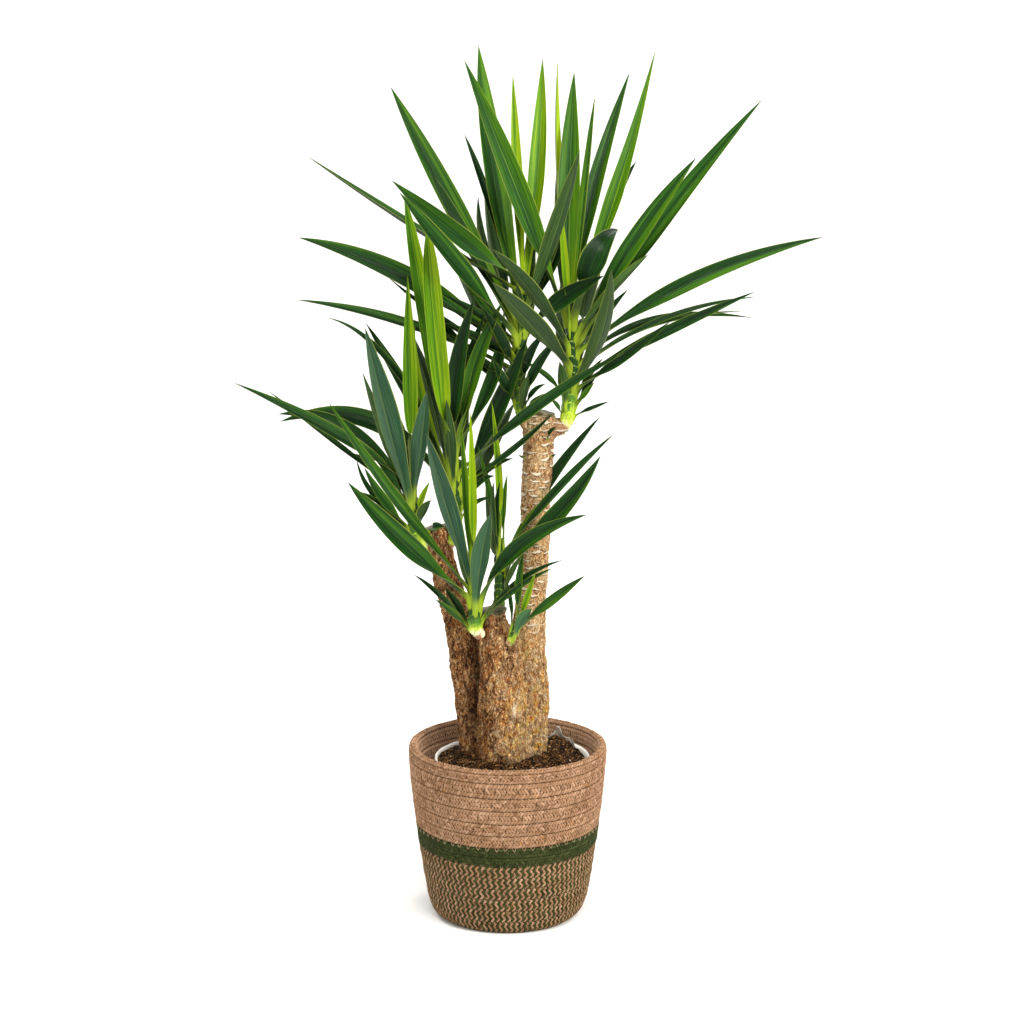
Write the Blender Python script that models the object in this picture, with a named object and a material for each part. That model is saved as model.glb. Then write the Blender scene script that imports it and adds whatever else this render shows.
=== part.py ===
"""Branched yucca in a nursery pot of soil, standing in a coiled rope basket.

Metres, +Z up. The origin is the middle of the basket's flat underside, and -Y is the front. The sizes and the
plant's points below are in centimetres, and CM turns them into metres.
"""

import math

import bmesh
import bpy
from mathutils import Matrix, Vector

CM = 0.01
GAP = 0.03  # clearance between pieces that touch

# Basket
BASKET_HEIGHT = 23.8
BASKET_WALL = 1.0
BASKET_RIM_RADIUS = 13.45
BASKET_SIDES = 40
GREEN_BAND_LOW = 10.0
GREEN_BAND_HIGH = 12.8

# Nursery pot and soil
POT_CENTRE = (0.6, 0.0)
POT_HEIGHT = 20.6
POT_RIM_RADIUS = 10.45
POT_BASE_RADIUS = 8.2
POT_WALL = 0.15
DRAIN_HOLES = 6
DRAIN_HOLE_RADIUS = 0.5
DRAIN_HOLE_CIRCLE = 5.5
SOIL_EDGE = 21.3
SOIL_MOUND = 22.5

# Leaf blades
LEAF_STATIONS = (0.0, 0.12, 0.24, 0.38, 0.56, 0.74, 0.89)
LEAF_THICKNESS = 0.14
RIM_SHARE = 0.6  # a blade's thickness at its edges, as a share of that at its middle
LEAF_FOLD = 25.0  # how far each half of a blade rises from flat, degrees
LEAF_BASE_SHARE = 0.36  # width of a blade where it leaves the shoot, as a share of its full width
LEAF_BROADEST = 0.46  # where a blade is broadest, as a share of its length

# Canes: height, middle x, middle y, radius, from the buried foot to the sawn top
CANES = {
    "tall_cane": (
        (12, 2.2, 1.4, 2.9), (21, 2.4, 1.5, 3.2), (26, 2.5, 1.5, 3.2), (29.5, 2.7, 1.6, 3.1), (33, 2.8, 1.7, 2.5),
        (38, 2.9, 1.8, 2.3), (45, 3.3, 2.0, 2.15), (51, 3.7, 2.2, 2.05), (58, 3.85, 2.3, 2.0), (65, 4.15, 2.4, 2.0),
        (68, 4.3, 2.5, 2.15), (69.2, 4.6, 2.5, 1.65),
    ),
    "left_cane": (
        (12, -4.2, 0.4, 1.8), (20, -4.4, 0.6, 1.9), (25, -4.8, 0.8, 1.95), (30, -5.4, 1.0, 2.0), (35, -5.95, 1.3, 2.0),
        (40, -6.7, 1.6, 2.0), (45, -7.85, 1.9, 1.95), (50, -9.1, 2.2, 1.9), (53.4, -9.8, 2.4, 1.75),
    ),
    "short_cane": (
        (12, -0.4, -1.6, 3.7), (21, -0.5, -1.6, 3.8), (27, -0.8, -1.5, 3.6), (31, -0.8, -1.4, 3.2),
        (35, -0.7, -1.3, 2.9), (37.5, -1.0, -1.3, 2.8), (39, -1.4, -1.3, 2.5), (40, -1.8, -1.3, 1.85),
        (41.6, -1.8, -1.3, 1.8),
    ),
}
COLLARS = {
    "right_collar": ((5.2, 2.4, 66.6, 1.5), (6.6, 2.4, 67.0, 1.2), (8.0, 2.3, 67.5, 1.05)),
    "left_collar": ((3.4, 2.3, 66.8, 1.2), (2.6, 2.1, 67.5, 0.95), (2.1, 2.0, 68.0, 0.8)),
}

# Shoots: x, y, height, radius, from the bark up to the growing tip
SHOOTS = {
    "tall_right_shoot": (
        (7.6, 2.3, 67.2, 0.9), (8.1, 2.2, 68.6, 1.0), (8.3, 2.1, 70.5, 1.0), (8.6, 2.0, 74, 0.9), (8.5, 2.0, 78, 0.75),
        (8.3, 2.0, 83, 0.5), (8.3, 2.0, 86, 0.25),
    ),
    "tall_left_shoot": (
        (2.5, 2.0, 67.6, 0.6), (1.8, 1.8, 69, 0.75), (1.6, 1.5, 71, 0.8), (1.6, 1.2, 74, 0.75), (1.7, 1.0, 79, 0.65),
        (2.1, 0.9, 84, 0.45), (2.4, 0.9, 87.5, 0.25),
    ),
    "left_outer_shoot": (
        (-11.0, 1.8, 50.2, 0.7), (-12.45, 1.5, 52.2, 0.85), (-12.75, 1.3, 55, 0.8), (-12.8, 1.2, 59, 0.6),
        (-12.7, 1.2, 62, 0.3),
    ),
    "left_inner_shoot": (
        (-8.1, 2.2, 50.6, 0.7), (-7.05, 2.0, 52.8, 0.8), (-6.9, 1.8, 57, 0.75), (-7.2, 1.6, 61, 0.55),
        (-7.4, 1.5, 64.5, 0.3),
    ),
    "front_left_shoot": (
        (-3.2, -2.8, 39.3, 0.7), (-4.2, -3.3, 40.2, 0.95), (-4.5, -3.5, 42, 0.9), (-4.4, -3.5, 44.5, 0.7),
        (-4.4, -3.5, 47.5, 0.3),
    ),
    "front_rear_shoot": (
        (-1.2, 0.6, 39.6, 0.7), (-1.2, 1.3, 41.5, 0.8), (-1.1, 1.4, 45, 0.75), (-1.0, 1.3, 49, 0.55),
        (-0.9, 1.2, 52, 0.3),
    ),
    "front_right_shoot": ((0.1, -3.5, 38.5, 0.45), (0.9, -4.2, 40.4, 0.45), (1.3, -4.4, 42.3, 0.2)),
}

# Leaves: height where the blade leaves its shoot, a point halfway along it, its tip, its width, and the turn of its
# upper face from the front, degrees
LEAVES = {
    "tall_left_shoot": (
        (82.5, (-1.8, 5.4, 101.4), (-3.9, 12.0, 117.4), 3.3, 24),
        (81.0, (-7.8, 4.5, 97.5), (-15.7, 10.0, 112.0), 2.9, 20),
        (86.5, (-6.5, -3.5, 93.2), (-14.5, -12.0, 100.6), 2.6, 20),
        (79.5, (-6.7, -5.4, 89.9), (-13.6, -10.4, 99.0), 2.7, 40),
        (86.5, (4.0, 4.5, 101.8), (4.7, 11.0, 115.7), 2.3, 15),
        (82.5, (6.1, -5.0, 93.8), (9.1, -12.0, 104.4), 2.2, 160),
        (85.4, (-11.8, 1.6, 93.6), (-26.2, 3.6, 102.9), 2.0, 78),
        (77.0, (-13.0, 3.4, 86.8), (-28.0, 5.0, 92.2), 2.9, 25),
        (75.0, (-13.4, 4.0, 80.7), (-28.5, 7.0, 83.7), 1.9, 55),
        (80.5, (7.4, -0.5, 84.5), (12.5, -4.0, 87.9), 2.7, 30),
    ),
    "tall_right_shoot": (
        (82.0, (1.3, 0.5, 98.8), (-5.6, -1.0, 115.5), 3.0, 10),
        (84.5, (8.2, 5.0, 98.9), (8.9, 9.0, 114.0), 3.0, 5),
        (83.0, (14.8, 6.0, 99.3), (19.9, 11.0, 117.2), 2.3, 20),
        (84.0, (11.5, 7.5, 98.1), (16.6, 14.0, 114.0), 2.3, 25),
        (81.5, (10.6, -1.0, 87.3), (12.4, -5.0, 94.3), 3.1, 20),
        (79.3, (16.8, -1.0, 92.4), (24.4, -3.0, 103.1), 2.5, 20),
        (78.2, (20.4, 1.5, 94.7), (33.5, 3.5, 110.4), 2.5, 25),
        (77.2, (24.9, 3.6, 86.6), (42.4, 6.0, 92.2), 2.2, 20),
        (73.0, (12.1, -6.0, 80.8), (13.0, -15.0, 89.8), 2.3, 165),
        (75.5, (3.3, -7.0, 81.9), (-1.9, -16.0, 88.2), 3.0, 160),
        (78.0, (3.2, -6.0, 86.1), (-1.8, -15.0, 92.2), 2.1, 160),
        (75.5, (19.1, 5.0, 81.0), (33.4, 9.0, 81.0), 1.2, 40),
        (74.0, (20.4, -1.0, 80.0), (32.3, -4.0, 85.9), 1.6, 35),
        (72.5, (15.2, -3.5, 77.2), (20.9, -8.0, 82.4), 1.4, 30),
    ),
    "left_inner_shoot": (
        (61.9, (-10.5, 1.2, 80.0), (-13.4, 0.0, 97.3), 2.2, 15),
        (60.6, (-9.2, -2.5, 77.7), (-10.0, -6.0, 93.6), 2.5, 28),
        (60.4, (-13.2, 3.0, 71.1), (-19.2, 7.0, 80.6), 2.0, 40),
        (62.0, (-6.8, -0.8, 74.0), (-4.2, -4.0, 85.2), 2.5, 20),
        (64.3, (-1.9, 0.75, 73.9), (-0.5, 0.5, 82.9), 2.1, 30),
        (59.0, (-1.2, 0.9, 69.8), (2.7, -1.5, 79.7), 2.7, 30),
        (61.0, (4.1, -3.2, 70.8), (15.2, -5.0, 78.0), 1.6, 30),
        (58.6, (-18.5, 6.0, 67.2), (-31.3, 9.0, 66.7), 2.8, 35),
    ),
    "left_outer_shoot": (
        (61.0, (-12.9, -1.0, 73.5), (-13.0, -3.0, 88.0), 2.0, 10),
        (57.0, (-15.6, -6.0, 69.7), (-17.9, -14.0, 82.3), 3.1, 165),
        (59.5, (-22.5, 0.0, 66.4), (-36.2, -2.0, 73.7), 1.8, 35),
        (58.5, (-11.5, -3.0, 66.3), (-10.4, -9.0, 73.5), 2.4, 160),
    ),
    "front_left_shoot": (
        (46.5, (-7.9, -8.0, 58.5), (-10.2, -16.0, 69.1), 2.6, 165),
        (46.0, (-14.6, -4.5, 58.4), (-23.5, -5.0, 71.7), 1.6, 20),
        (45.0, (-13.6, -7.6, 53.4), (-20.6, -11.0, 62.0), 2.6, 34),
        (44.0, (-3.5, -7.5, 51.6), (-2.1, -13.0, 58.2), 2.5, 170),
        (44.5, (1.6, -6.0, 52.4), (10.4, -10.0, 57.5), 2.3, 30),
    ),
    "front_rear_shoot": (
        (50.0, (6.6, -1.4, 59.2), (14.2, -1.0, 66.7), 1.2, 25),
        (49.0, (6.9, -3.5, 56.5), (12.2, -6.0, 64.6), 2.6, 30),
    ),
    "front_right_shoot": (
        (41.0, (5.9, -6.0, 45.1), (10.2, -9.0, 49.2), 1.4, 30),
    ),
}

COLOURS = {
    "natural rope": ((0.42, 0.27, 0.16), 0.85),
    "green rope": ((0.09, 0.09, 0.035), 0.85),
    "mixed rope": ((0.22, 0.17, 0.09), 0.85),
    "pot plastic": ((0.55, 0.54, 0.52), 0.5),
    "soil": ((0.035, 0.022, 0.014), 0.95),
    "bark": ((0.36, 0.22, 0.11), 0.9),
    "wax": ((0.16, 0.16, 0.13), 0.6),
    "shoot": ((0.32, 0.45, 0.05), 0.45),
    "leaf": ((0.07, 0.19, 0.03), 0.4),
}


def clear_scene():
    for item in list(bpy.data.objects):
        bpy.data.objects.remove(item, do_unlink=True)


def material(name):
    """The Principled material of that name, made once."""
    found = bpy.data.materials.get(name)
    if found:
        return found
    colour, roughness = COLOURS[name]
    made = bpy.data.materials.new(name)
    made.use_nodes = True
    shader = made.node_tree.nodes["Principled BSDF"]
    shader.inputs["Base Color"].default_value = (*colour, 1.0)
    shader.inputs["Roughness"].default_value = roughness
    shader.inputs["Metallic"].default_value = 0.0
    return made


def loft(name, rings, finish, tip=None, crossed=None):
    """A closed solid through rings of points in centimetres, with flat ends or a pointed tip.

    With crossed given, each face is split in two, and the sides it lists are split along the other diagonal.
    """
    mesh = bmesh.new()
    loops = [[mesh.verts.new(Vector(point) * CM) for point in ring] for ring in rings]
    sides = len(loops[0])
    for low, high in zip(loops, loops[1:]):
        for i in range(sides):
            j = (i + 1) % sides
            if crossed is None:
                mesh.faces.new((low[i], low[j], high[j], high[i]))
            elif i in crossed:
                mesh.faces.new((low[i], low[j], high[i]))
                mesh.faces.new((low[j], high[j], high[i]))
            else:
                mesh.faces.new((low[i], low[j], high[j]))
                mesh.faces.new((low[i], high[j], high[i]))
    mesh.faces.new(list(reversed(loops[0])))
    if tip is None:
        mesh.faces.new(loops[-1])
    else:
        point = mesh.verts.new(Vector(tip) * CM)
        for i in range(sides):
            mesh.faces.new((loops[-1][i], loops[-1][(i + 1) % sides], point))
    bmesh.ops.recalc_face_normals(mesh, faces=mesh.faces)
    return finish_object(name, mesh, finish)


def turned(name, profile, centre, sides, finish):
    """A solid of revolution about a vertical line. profile runs from the axis underneath round to the axis on top."""
    mesh = bmesh.new()
    verts = [mesh.verts.new(Vector((radius, 0.0, height)) * CM) for radius, height in profile]
    edges = [mesh.edges.new(pair) for pair in zip(verts, verts[1:])]
    if profile[0][0] > 0:
        edges.append(mesh.edges.new((verts[-1], verts[0])))
    bmesh.ops.spin(mesh, geom=verts + edges, cent=(0, 0, 0), axis=(0, 0, 1), angle=math.tau, steps=sides,
                   use_merge=True)
    bmesh.ops.remove_doubles(mesh, verts=mesh.verts, dist=0.0001 * CM)
    bmesh.ops.recalc_face_normals(mesh, faces=mesh.faces)
    bmesh.ops.translate(mesh, verts=mesh.verts, vec=Vector((*centre, 0.0)) * CM)
    return finish_object(name, mesh, finish)


def finish_object(name, mesh, finish):
    data = bpy.data.meshes.new(name)
    mesh.to_mesh(data)
    mesh.free()
    data.materials.append(material(finish))
    data.shade_smooth()
    data.set_sharp_from_angle(angle=math.radians(35))
    made = bpy.data.objects.new(name, data)
    bpy.context.scene.collection.objects.link(made)
    return made


def as_cutter(made):
    made.hide_render = True
    made.display_type = "WIRE"
    return made


def boolean(target, tool, operation):
    modifier = target.modifiers.new(tool.name, "BOOLEAN")
    modifier.operation = operation
    modifier.solver = "EXACT"
    modifier.object = tool


def circle(centre, radius, height, sides):
    return [
        (centre[0] + radius * math.cos(math.tau * i / sides), centre[1] + radius * math.sin(math.tau * i / sides), height)
        for i in range(sides)
    ]


def tube_rings(points, sides, grow=0.0):
    """Rings square to a path whose points are (x, y, z, radius)."""
    centres = [Vector(point[:3]) for point in points]
    rings = []
    for i, (centre, point) in enumerate(zip(centres, points)):
        along = (centres[min(i + 1, len(centres) - 1)] - centres[max(i - 1, 0)]).normalized()
        across = along.cross(Vector((0, 1, 0))).normalized()
        other = along.cross(across)
        radius = point[3] + grow
        rings.append([
            tuple(centre + radius * (math.cos(math.tau * k / sides) * across + math.sin(math.tau * k / sides) * other))
            for k in range(sides)
        ])
    return rings


def basket_radius(height):
    """Outer radius of the basket's wall: a rounded corner at the foot, then a gentle widening to the rim."""
    corner = 2.8
    wall = 11.05 + 0.098 * height + 0.35 * math.sin(math.pi * min(height, BASKET_HEIGHT) / BASKET_HEIGHT)
    if height < corner:
        drop = 1 - height / corner
        wall -= corner * 0.56 * (1 - math.sqrt(max(0.0, 1 - drop * drop)))
    return min(wall, BASKET_RIM_RADIUS)


def make_basket():
    """Three sewn ropes, one above the other: mixed with the base, green, and natural with the rolled rim."""
    centre = (0.0, 0.0)
    levels = (0.0, 0.5, 1.2, 2.0, 3.0, 6.0, GREEN_BAND_LOW)
    outer = [(basket_radius(z), z) for z in levels]
    inner = [(basket_radius(z) - BASKET_WALL, z) for z in (GREEN_BAND_LOW, 6.0, 3.0)]
    floor = [(basket_radius(2.0) - BASKET_WALL - 1.0, BASKET_WALL + 0.6), (9.0, BASKET_WALL), (0.0, BASKET_WALL)]
    turned("mixed_rope_coils", [(0.0, 0.0)] + outer + inner + floor, centre, BASKET_SIDES, "mixed rope")
    wall_ring("green_rope_coils", (GREEN_BAND_LOW + GAP, 11.4, GREEN_BAND_HIGH), [], "green rope")
    rim = (
        (basket_radius(22.4), 22.4), (basket_radius(23.0) + 0.1, 23.0), (13.3, 23.55), (12.95, BASKET_HEIGHT),
        (12.55, 23.65), (12.3, 23.1), (basket_radius(22.2) - BASKET_WALL, 22.2),
    )
    wall_ring("natural_rope_coils", (GREEN_BAND_HIGH + GAP, 16.0, 19.5), rim, "natural rope")


def wall_ring(name, levels, rim, finish):
    """One ring of the wall, from its outer foot up, over the rim and down inside."""
    outer = [(basket_radius(z), z) for z in levels]
    inner = [(basket_radius(z) - BASKET_WALL, z) for z in reversed(levels)]
    turned(name, outer + list(rim) + inner, (0.0, 0.0), BASKET_SIDES, finish)


def pot_radius(height):
    """Outer radius of the nursery pot at a height above the floor."""
    share = (height - pot_foot()) / POT_HEIGHT
    return POT_BASE_RADIUS + (POT_RIM_RADIUS - POT_BASE_RADIUS) * share


def pot_foot():
    return BASKET_WALL + GAP


def make_pot():
    """A thin tapered pot with drain holes, standing on the basket's base."""
    foot = pot_foot()
    top = foot + POT_HEIGHT
    inside = foot + POT_WALL
    profile = (
        (0.0, foot), (POT_BASE_RADIUS, foot), (pot_radius(12.0), 12.0), (POT_RIM_RADIUS, top),
        (POT_RIM_RADIUS - POT_WALL, top), (pot_radius(12.0) - POT_WALL, 12.0),
        (pot_radius(inside) - POT_WALL, inside), (0.0, inside),
    )
    pot = turned("nursery_pot", profile, POT_CENTRE, 32, "pot plastic")
    for i in range(DRAIN_HOLES):
        turn = math.tau * (i + 0.5) / DRAIN_HOLES
        middle = (POT_CENTRE[0] + DRAIN_HOLE_CIRCLE * math.cos(turn), POT_CENTRE[1] + DRAIN_HOLE_CIRCLE * math.sin(turn))
        rings = [circle(middle, DRAIN_HOLE_RADIUS, z, 8) for z in (foot - 0.1, inside + 0.1)]
        boolean(pot, as_cutter(loft(f"drain_cutter_{i}", rings, "pot plastic")), "DIFFERENCE")


def cane_rings(points, grow=0.0, sides=18):
    return [circle((x, y), radius + grow, z, sides) for z, x, y, radius in points]


def make_trunk():
    """The trunk as it grew: three canes fused low down, with the collars that carry the tall cane's shoots."""
    trunk = loft("trunk", cane_rings(CANES["tall_cane"]), "bark")
    for name in ("left_cane", "short_cane"):
        boolean(trunk, as_cutter(loft(name, cane_rings(CANES[name]), "bark")), "UNION")
    for name, points in COLLARS.items():
        boolean(trunk, as_cutter(loft(name, tube_rings(points, 12), "bark")), "UNION")


def trunk_cutters():
    """Slightly larger copies of the canes and collars, which cut clearance into what touches the bark."""
    cutters = [as_cutter(loft(f"{name}_cutter", cane_rings(points, GAP), "bark")) for name, points in CANES.items()]
    for name, points in COLLARS.items():
        cutters.append(as_cutter(loft(f"{name}_cutter", tube_rings(points, 12, GAP), "bark")))
    return {cutter.name: cutter for cutter in cutters}


def make_soil(cutters):
    """Potting soil that fills the nursery pot and rises a little round the canes."""
    foot = pot_foot() + POT_WALL + GAP
    side = POT_WALL + GAP
    profile = (
        (0.0, foot), (pot_radius(foot) - side, foot), (pot_radius(12.0) - side, 12.0),
        (pot_radius(SOIL_EDGE) - side, SOIL_EDGE), (7.5, SOIL_EDGE + 0.5), (5.0, SOIL_MOUND), (0.0, SOIL_MOUND),
    )
    soil = turned("soil", profile, POT_CENTRE, 32, "soil")
    for name in CANES:
        boolean(soil, cutters[f"{name}_cutter"], "DIFFERENCE")


def make_wax():
    """Domed wax seals on the sawn tops."""
    for name, points in CANES.items():
        top, x, y, radius = points[-1]
        rings = [
            circle((x, y), radius * share, top + GAP + rise, 16)
            for share, rise in ((0.97, 0.0), (1.02, 0.15), (0.92, 0.35), (0.5, 0.5))
        ]
        loft(name.replace("cane", "wax_seal"), rings, "wax")


def make_shoots(cutters):
    """Leafy stems that broke out of the bark; each is cut back to the bark that it grows on."""
    grows_on = {
        "tall_right_shoot": ("tall_cane", "right_collar"),
        "tall_left_shoot": ("tall_cane", "left_collar"),
        "left_outer_shoot": ("left_cane",),
        "left_inner_shoot": ("left_cane",),
        "front_left_shoot": ("short_cane",),
        "front_rear_shoot": ("short_cane", "tall_cane"),
        "front_right_shoot": ("short_cane", "tall_cane"),
    }
    for name, points in SHOOTS.items():
        shoot = loft(name, tube_rings(points, 8), "shoot")
        for carrier in grows_on[name]:
            boolean(shoot, cutters[f"{carrier}_cutter"], "DIFFERENCE")


def shoot_at(points, height):
    """Middle and radius of a shoot at a height."""
    for low, high in zip(points, points[1:]):
        if low[2] <= height <= high[2]:
            share = (height - low[2]) / (high[2] - low[2])
            mixed = [a + (b - a) * share for a, b in zip(low, high)]
            return Vector(mixed[:3]), mixed[3]
    raise ValueError(f"height {height} is off the shoot")


def leaf_width(share):
    """Width of a blade at a share of its length, against its full width."""
    if share < LEAF_BROADEST:
        rise = share / LEAF_BROADEST
        return LEAF_BASE_SHARE + (1 - LEAF_BASE_SHARE) * rise * rise * (3 - 2 * rise)
    fall = (share - LEAF_BROADEST) / (1 - LEAF_BROADEST)
    return 1 - fall ** 1.9


def make_leaf(name, shoot, rise, middle, tip, width, face):
    """A pointed blade with a V section on a curve from its shoot through its middle point to its tip."""
    axis, radius = shoot_at(shoot, rise)
    middle, tip = Vector(middle), Vector(tip)
    outward = middle - axis
    outward.z = 0.0
    outward.normalize()
    start = axis + outward * (radius + GAP)
    control = 2 * middle - (start + tip) / 2
    side = 1.0 if tip.x < start.x else -1.0
    turn = math.radians(face)
    fold = math.radians(LEAF_FOLD)
    rings = []
    for share in LEAF_STATIONS:
        point = start * (1 - share) ** 2 + control * (2 * share * (1 - share)) + tip * share ** 2
        along = ((control - start) * (1 - share) + (tip - control) * share).normalized()
        front = Vector((0, -1, 0))
        front = (front - front.dot(along) * along).normalized()
        facing = math.cos(turn) * front + math.sin(turn) * side * along.cross(front)
        inward = Vector((0, 0, 0.5)) - outward
        inward = (inward - inward.dot(along) * along).normalized()
        blend = min(1.0, share / 0.45)
        blend = blend * blend * (3 - 2 * blend)
        normal = inward.lerp(facing, blend)
        normal = (normal - normal.dot(along) * along).normalized()
        across = along.cross(normal)
        half = width * leaf_width(share) / 2
        edge = half * math.cos(fold) * across
        lift = half * math.sin(fold) / 2 * normal
        depth = LEAF_THICKNESS * (0.5 + 0.5 * leaf_width(share)) * normal
        rim = depth * RIM_SHARE
        corners = (point - edge + lift, point - edge + lift - rim, point - lift - depth,
                   point + edge + lift - rim, point + edge + lift, point - lift)
        rings.append([tuple(corner) for corner in corners])
    # both sides of the blade are split alike, so its thickness holds where it twists
    return loft(name, rings, "leaf", tip=tuple(tip), crossed=(2, 5))


def make_leaves():
    for shoot, rows in LEAVES.items():
        stem = shoot.replace("_shoot", "_leaf")
        for number, row in enumerate(rows, 1):
            make_leaf(f"{stem}_{number}", SHOOTS[shoot], *row)


def main():
    clear_scene()
    make_basket()
    make_pot()
    make_trunk()
    cutters = trunk_cutters()
    make_soil(cutters)
    make_wax()
    make_shoots(cutters)
    make_leaves()


main()
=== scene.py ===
# Potted yucca: three canes with rosettes of sword leaves, in a coiled rope basket.
# Sizes in the dictionaries are centimetres unless they say otherwise; the meshes are metres.
import math
import bpy
import numpy as np
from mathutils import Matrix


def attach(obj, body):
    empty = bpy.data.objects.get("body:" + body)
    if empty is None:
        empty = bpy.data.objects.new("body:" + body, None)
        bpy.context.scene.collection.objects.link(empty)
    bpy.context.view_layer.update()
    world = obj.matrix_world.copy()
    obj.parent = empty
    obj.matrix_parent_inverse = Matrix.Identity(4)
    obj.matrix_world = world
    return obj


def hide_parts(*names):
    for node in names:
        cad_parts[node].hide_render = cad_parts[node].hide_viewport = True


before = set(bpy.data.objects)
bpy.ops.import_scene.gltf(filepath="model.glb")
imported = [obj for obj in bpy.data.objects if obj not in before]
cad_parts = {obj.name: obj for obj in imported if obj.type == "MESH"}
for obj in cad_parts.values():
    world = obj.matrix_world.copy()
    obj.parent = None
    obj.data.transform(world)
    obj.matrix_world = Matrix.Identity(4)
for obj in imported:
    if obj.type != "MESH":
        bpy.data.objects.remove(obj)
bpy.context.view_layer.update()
cm = 0.01
turn = 2 * math.pi
print("frame loaded:", len(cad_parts), "nodes")


def smooth(low, high, value):  # 0 below low, 1 above high, an S curve between
    share = np.clip((value - low) / (high - low), 0.0, 1.0)
    return share * share * (3 - 2 * share)


def unit(vectors):
    return vectors / np.maximum(np.linalg.norm(vectors, axis=-1, keepdims=True), 1e-12)


def spots(*parts):  # coordinates that broadcast together, as points
    return np.stack(np.broadcast_arrays(*parts), axis=-1)


def onRings(radius, angle, height, x=0.0):  # points round an upright axis that stands at x
    return spots(x + radius * np.cos(angle), radius * np.sin(angle), height)


def roundAngles(count):
    return np.arange(count) / count * turn


def scatter(cells, seed):  # the whole numbers of a lattice cell mixed into one from 0 to 1, the same on each run
    mixed = cells[..., 0] * 73856093 ^ cells[..., 1] * 19349663 ^ cells[..., 2] * 83492791 ^ (seed + 1) * 40503
    mixed = (mixed ^ (mixed >> 13)) * 1274126177 & 0x7FFFFFFF
    mixed = (mixed ^ (mixed >> 15)) * 668265263 & 0x7FFFFFFF
    return ((mixed ^ (mixed >> 12)) & 0xFFFFF) / float(0xFFFFF)


def softNoise(points, seed=0):
    # a random number at each corner of a unit lattice, blended across the cell by an S curve: -1 to 1
    cell = np.floor(points).astype(np.int64)
    part = points - cell
    part = part * part * (3 - 2 * part)
    total = 0.0
    for corner in range(8):
        step = np.array([corner & 1, corner >> 1 & 1, corner >> 2 & 1])
        total = total + scatter(cell + step, seed) * np.prod(np.where(step, part, 1 - part), axis=-1)
    return total * 2 - 1


def roughNoise(points, seed, layers):  # soft noise plus itself at half the size and half the height
    return sum(softNoise(points * 2 ** k, seed + k) / 2 ** k for k in range(layers)) / 2


def plates(points, seed):
    # one seed point in each lattice cell: how much nearer the nearest is than the next, and the nearest one's number
    cell = np.floor(points).astype(np.int64)
    nearest = np.full(points.shape[:-1], 9.0)
    second = nearest.copy()
    owner = np.zeros(points.shape[:-1])
    for index in range(27):
        other = cell + np.array([index % 3, index // 3 % 3, index // 9]) - 1
        spot = other + np.stack([scatter(other, seed + n) for n in (11, 23, 37)], axis=-1)
        away = np.linalg.norm(spot - points, axis=-1)
        closer = away < nearest
        second = np.where(closer, nearest, np.minimum(second, away))
        owner = np.where(closer, scatter(other, seed + 51), owner)
        nearest = np.where(closer, away, nearest)
    return second - nearest, owner


def gridQuads(rows, columns, closed=True):  # each ring of points joined to the next, and its last column to its first
    row, column = np.meshgrid(np.arange(rows - 1), np.arange(columns if closed else columns - 1), indexing="ij")
    after = (column + 1) % columns
    here = row * columns
    return np.stack([here + column, here + after, here + columns + after, here + columns + column], -1).reshape(-1, 4)


def fan(ring, middle, back=False):  # triangles from a ring of point numbers to one middle point
    after = np.roll(ring, -1)
    first, last = (after, ring) if back else (ring, after)
    return np.stack([first, last, np.full(len(ring), middle)], -1)


def capped(rings, first, last, turned=False):
    # rings of points joined in order, closed by a middle point at the first ring and another at the last
    rows, columns = rings.shape[:2]
    count, ring = rows * columns, np.arange(columns)
    points = np.concatenate([rings.reshape(-1, 3), [first], [last]])
    quads = gridQuads(rows, columns)
    triangles = np.concatenate([fan(ring, count, back=True), fan(ring + count - columns, count + 1)])
    return (points, quads[:, ::-1], triangles[:, ::-1]) if turned else (points, quads, triangles)


def newGather():  # several surfaces kept together until they become one piece
    return {"points": [], "quads": [], "triangles": [], "uv": [], "values": {}, "count": 0}


def gather(into, points, quads, triangles=None, uv=None, **values):  # points in centimetres; a value is an attribute
    points = points.reshape(-1, 3) * cm
    into["points"].append(points)
    into["quads"].append(quads + into["count"])
    into["triangles"].append(np.zeros((0, 3), int) if triangles is None else triangles + into["count"])
    into["uv"].append(np.zeros((len(points), 2)) if uv is None else uv.reshape(-1, 2))
    for label, value in values.items():
        into["values"].setdefault(label, []).append(np.broadcast_to(value, len(points)))
    into["count"] += len(points)


def addObject(name, data):
    made = bpy.data.objects.new(name, data)
    bpy.context.scene.collection.objects.link(made)
    return made


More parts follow.
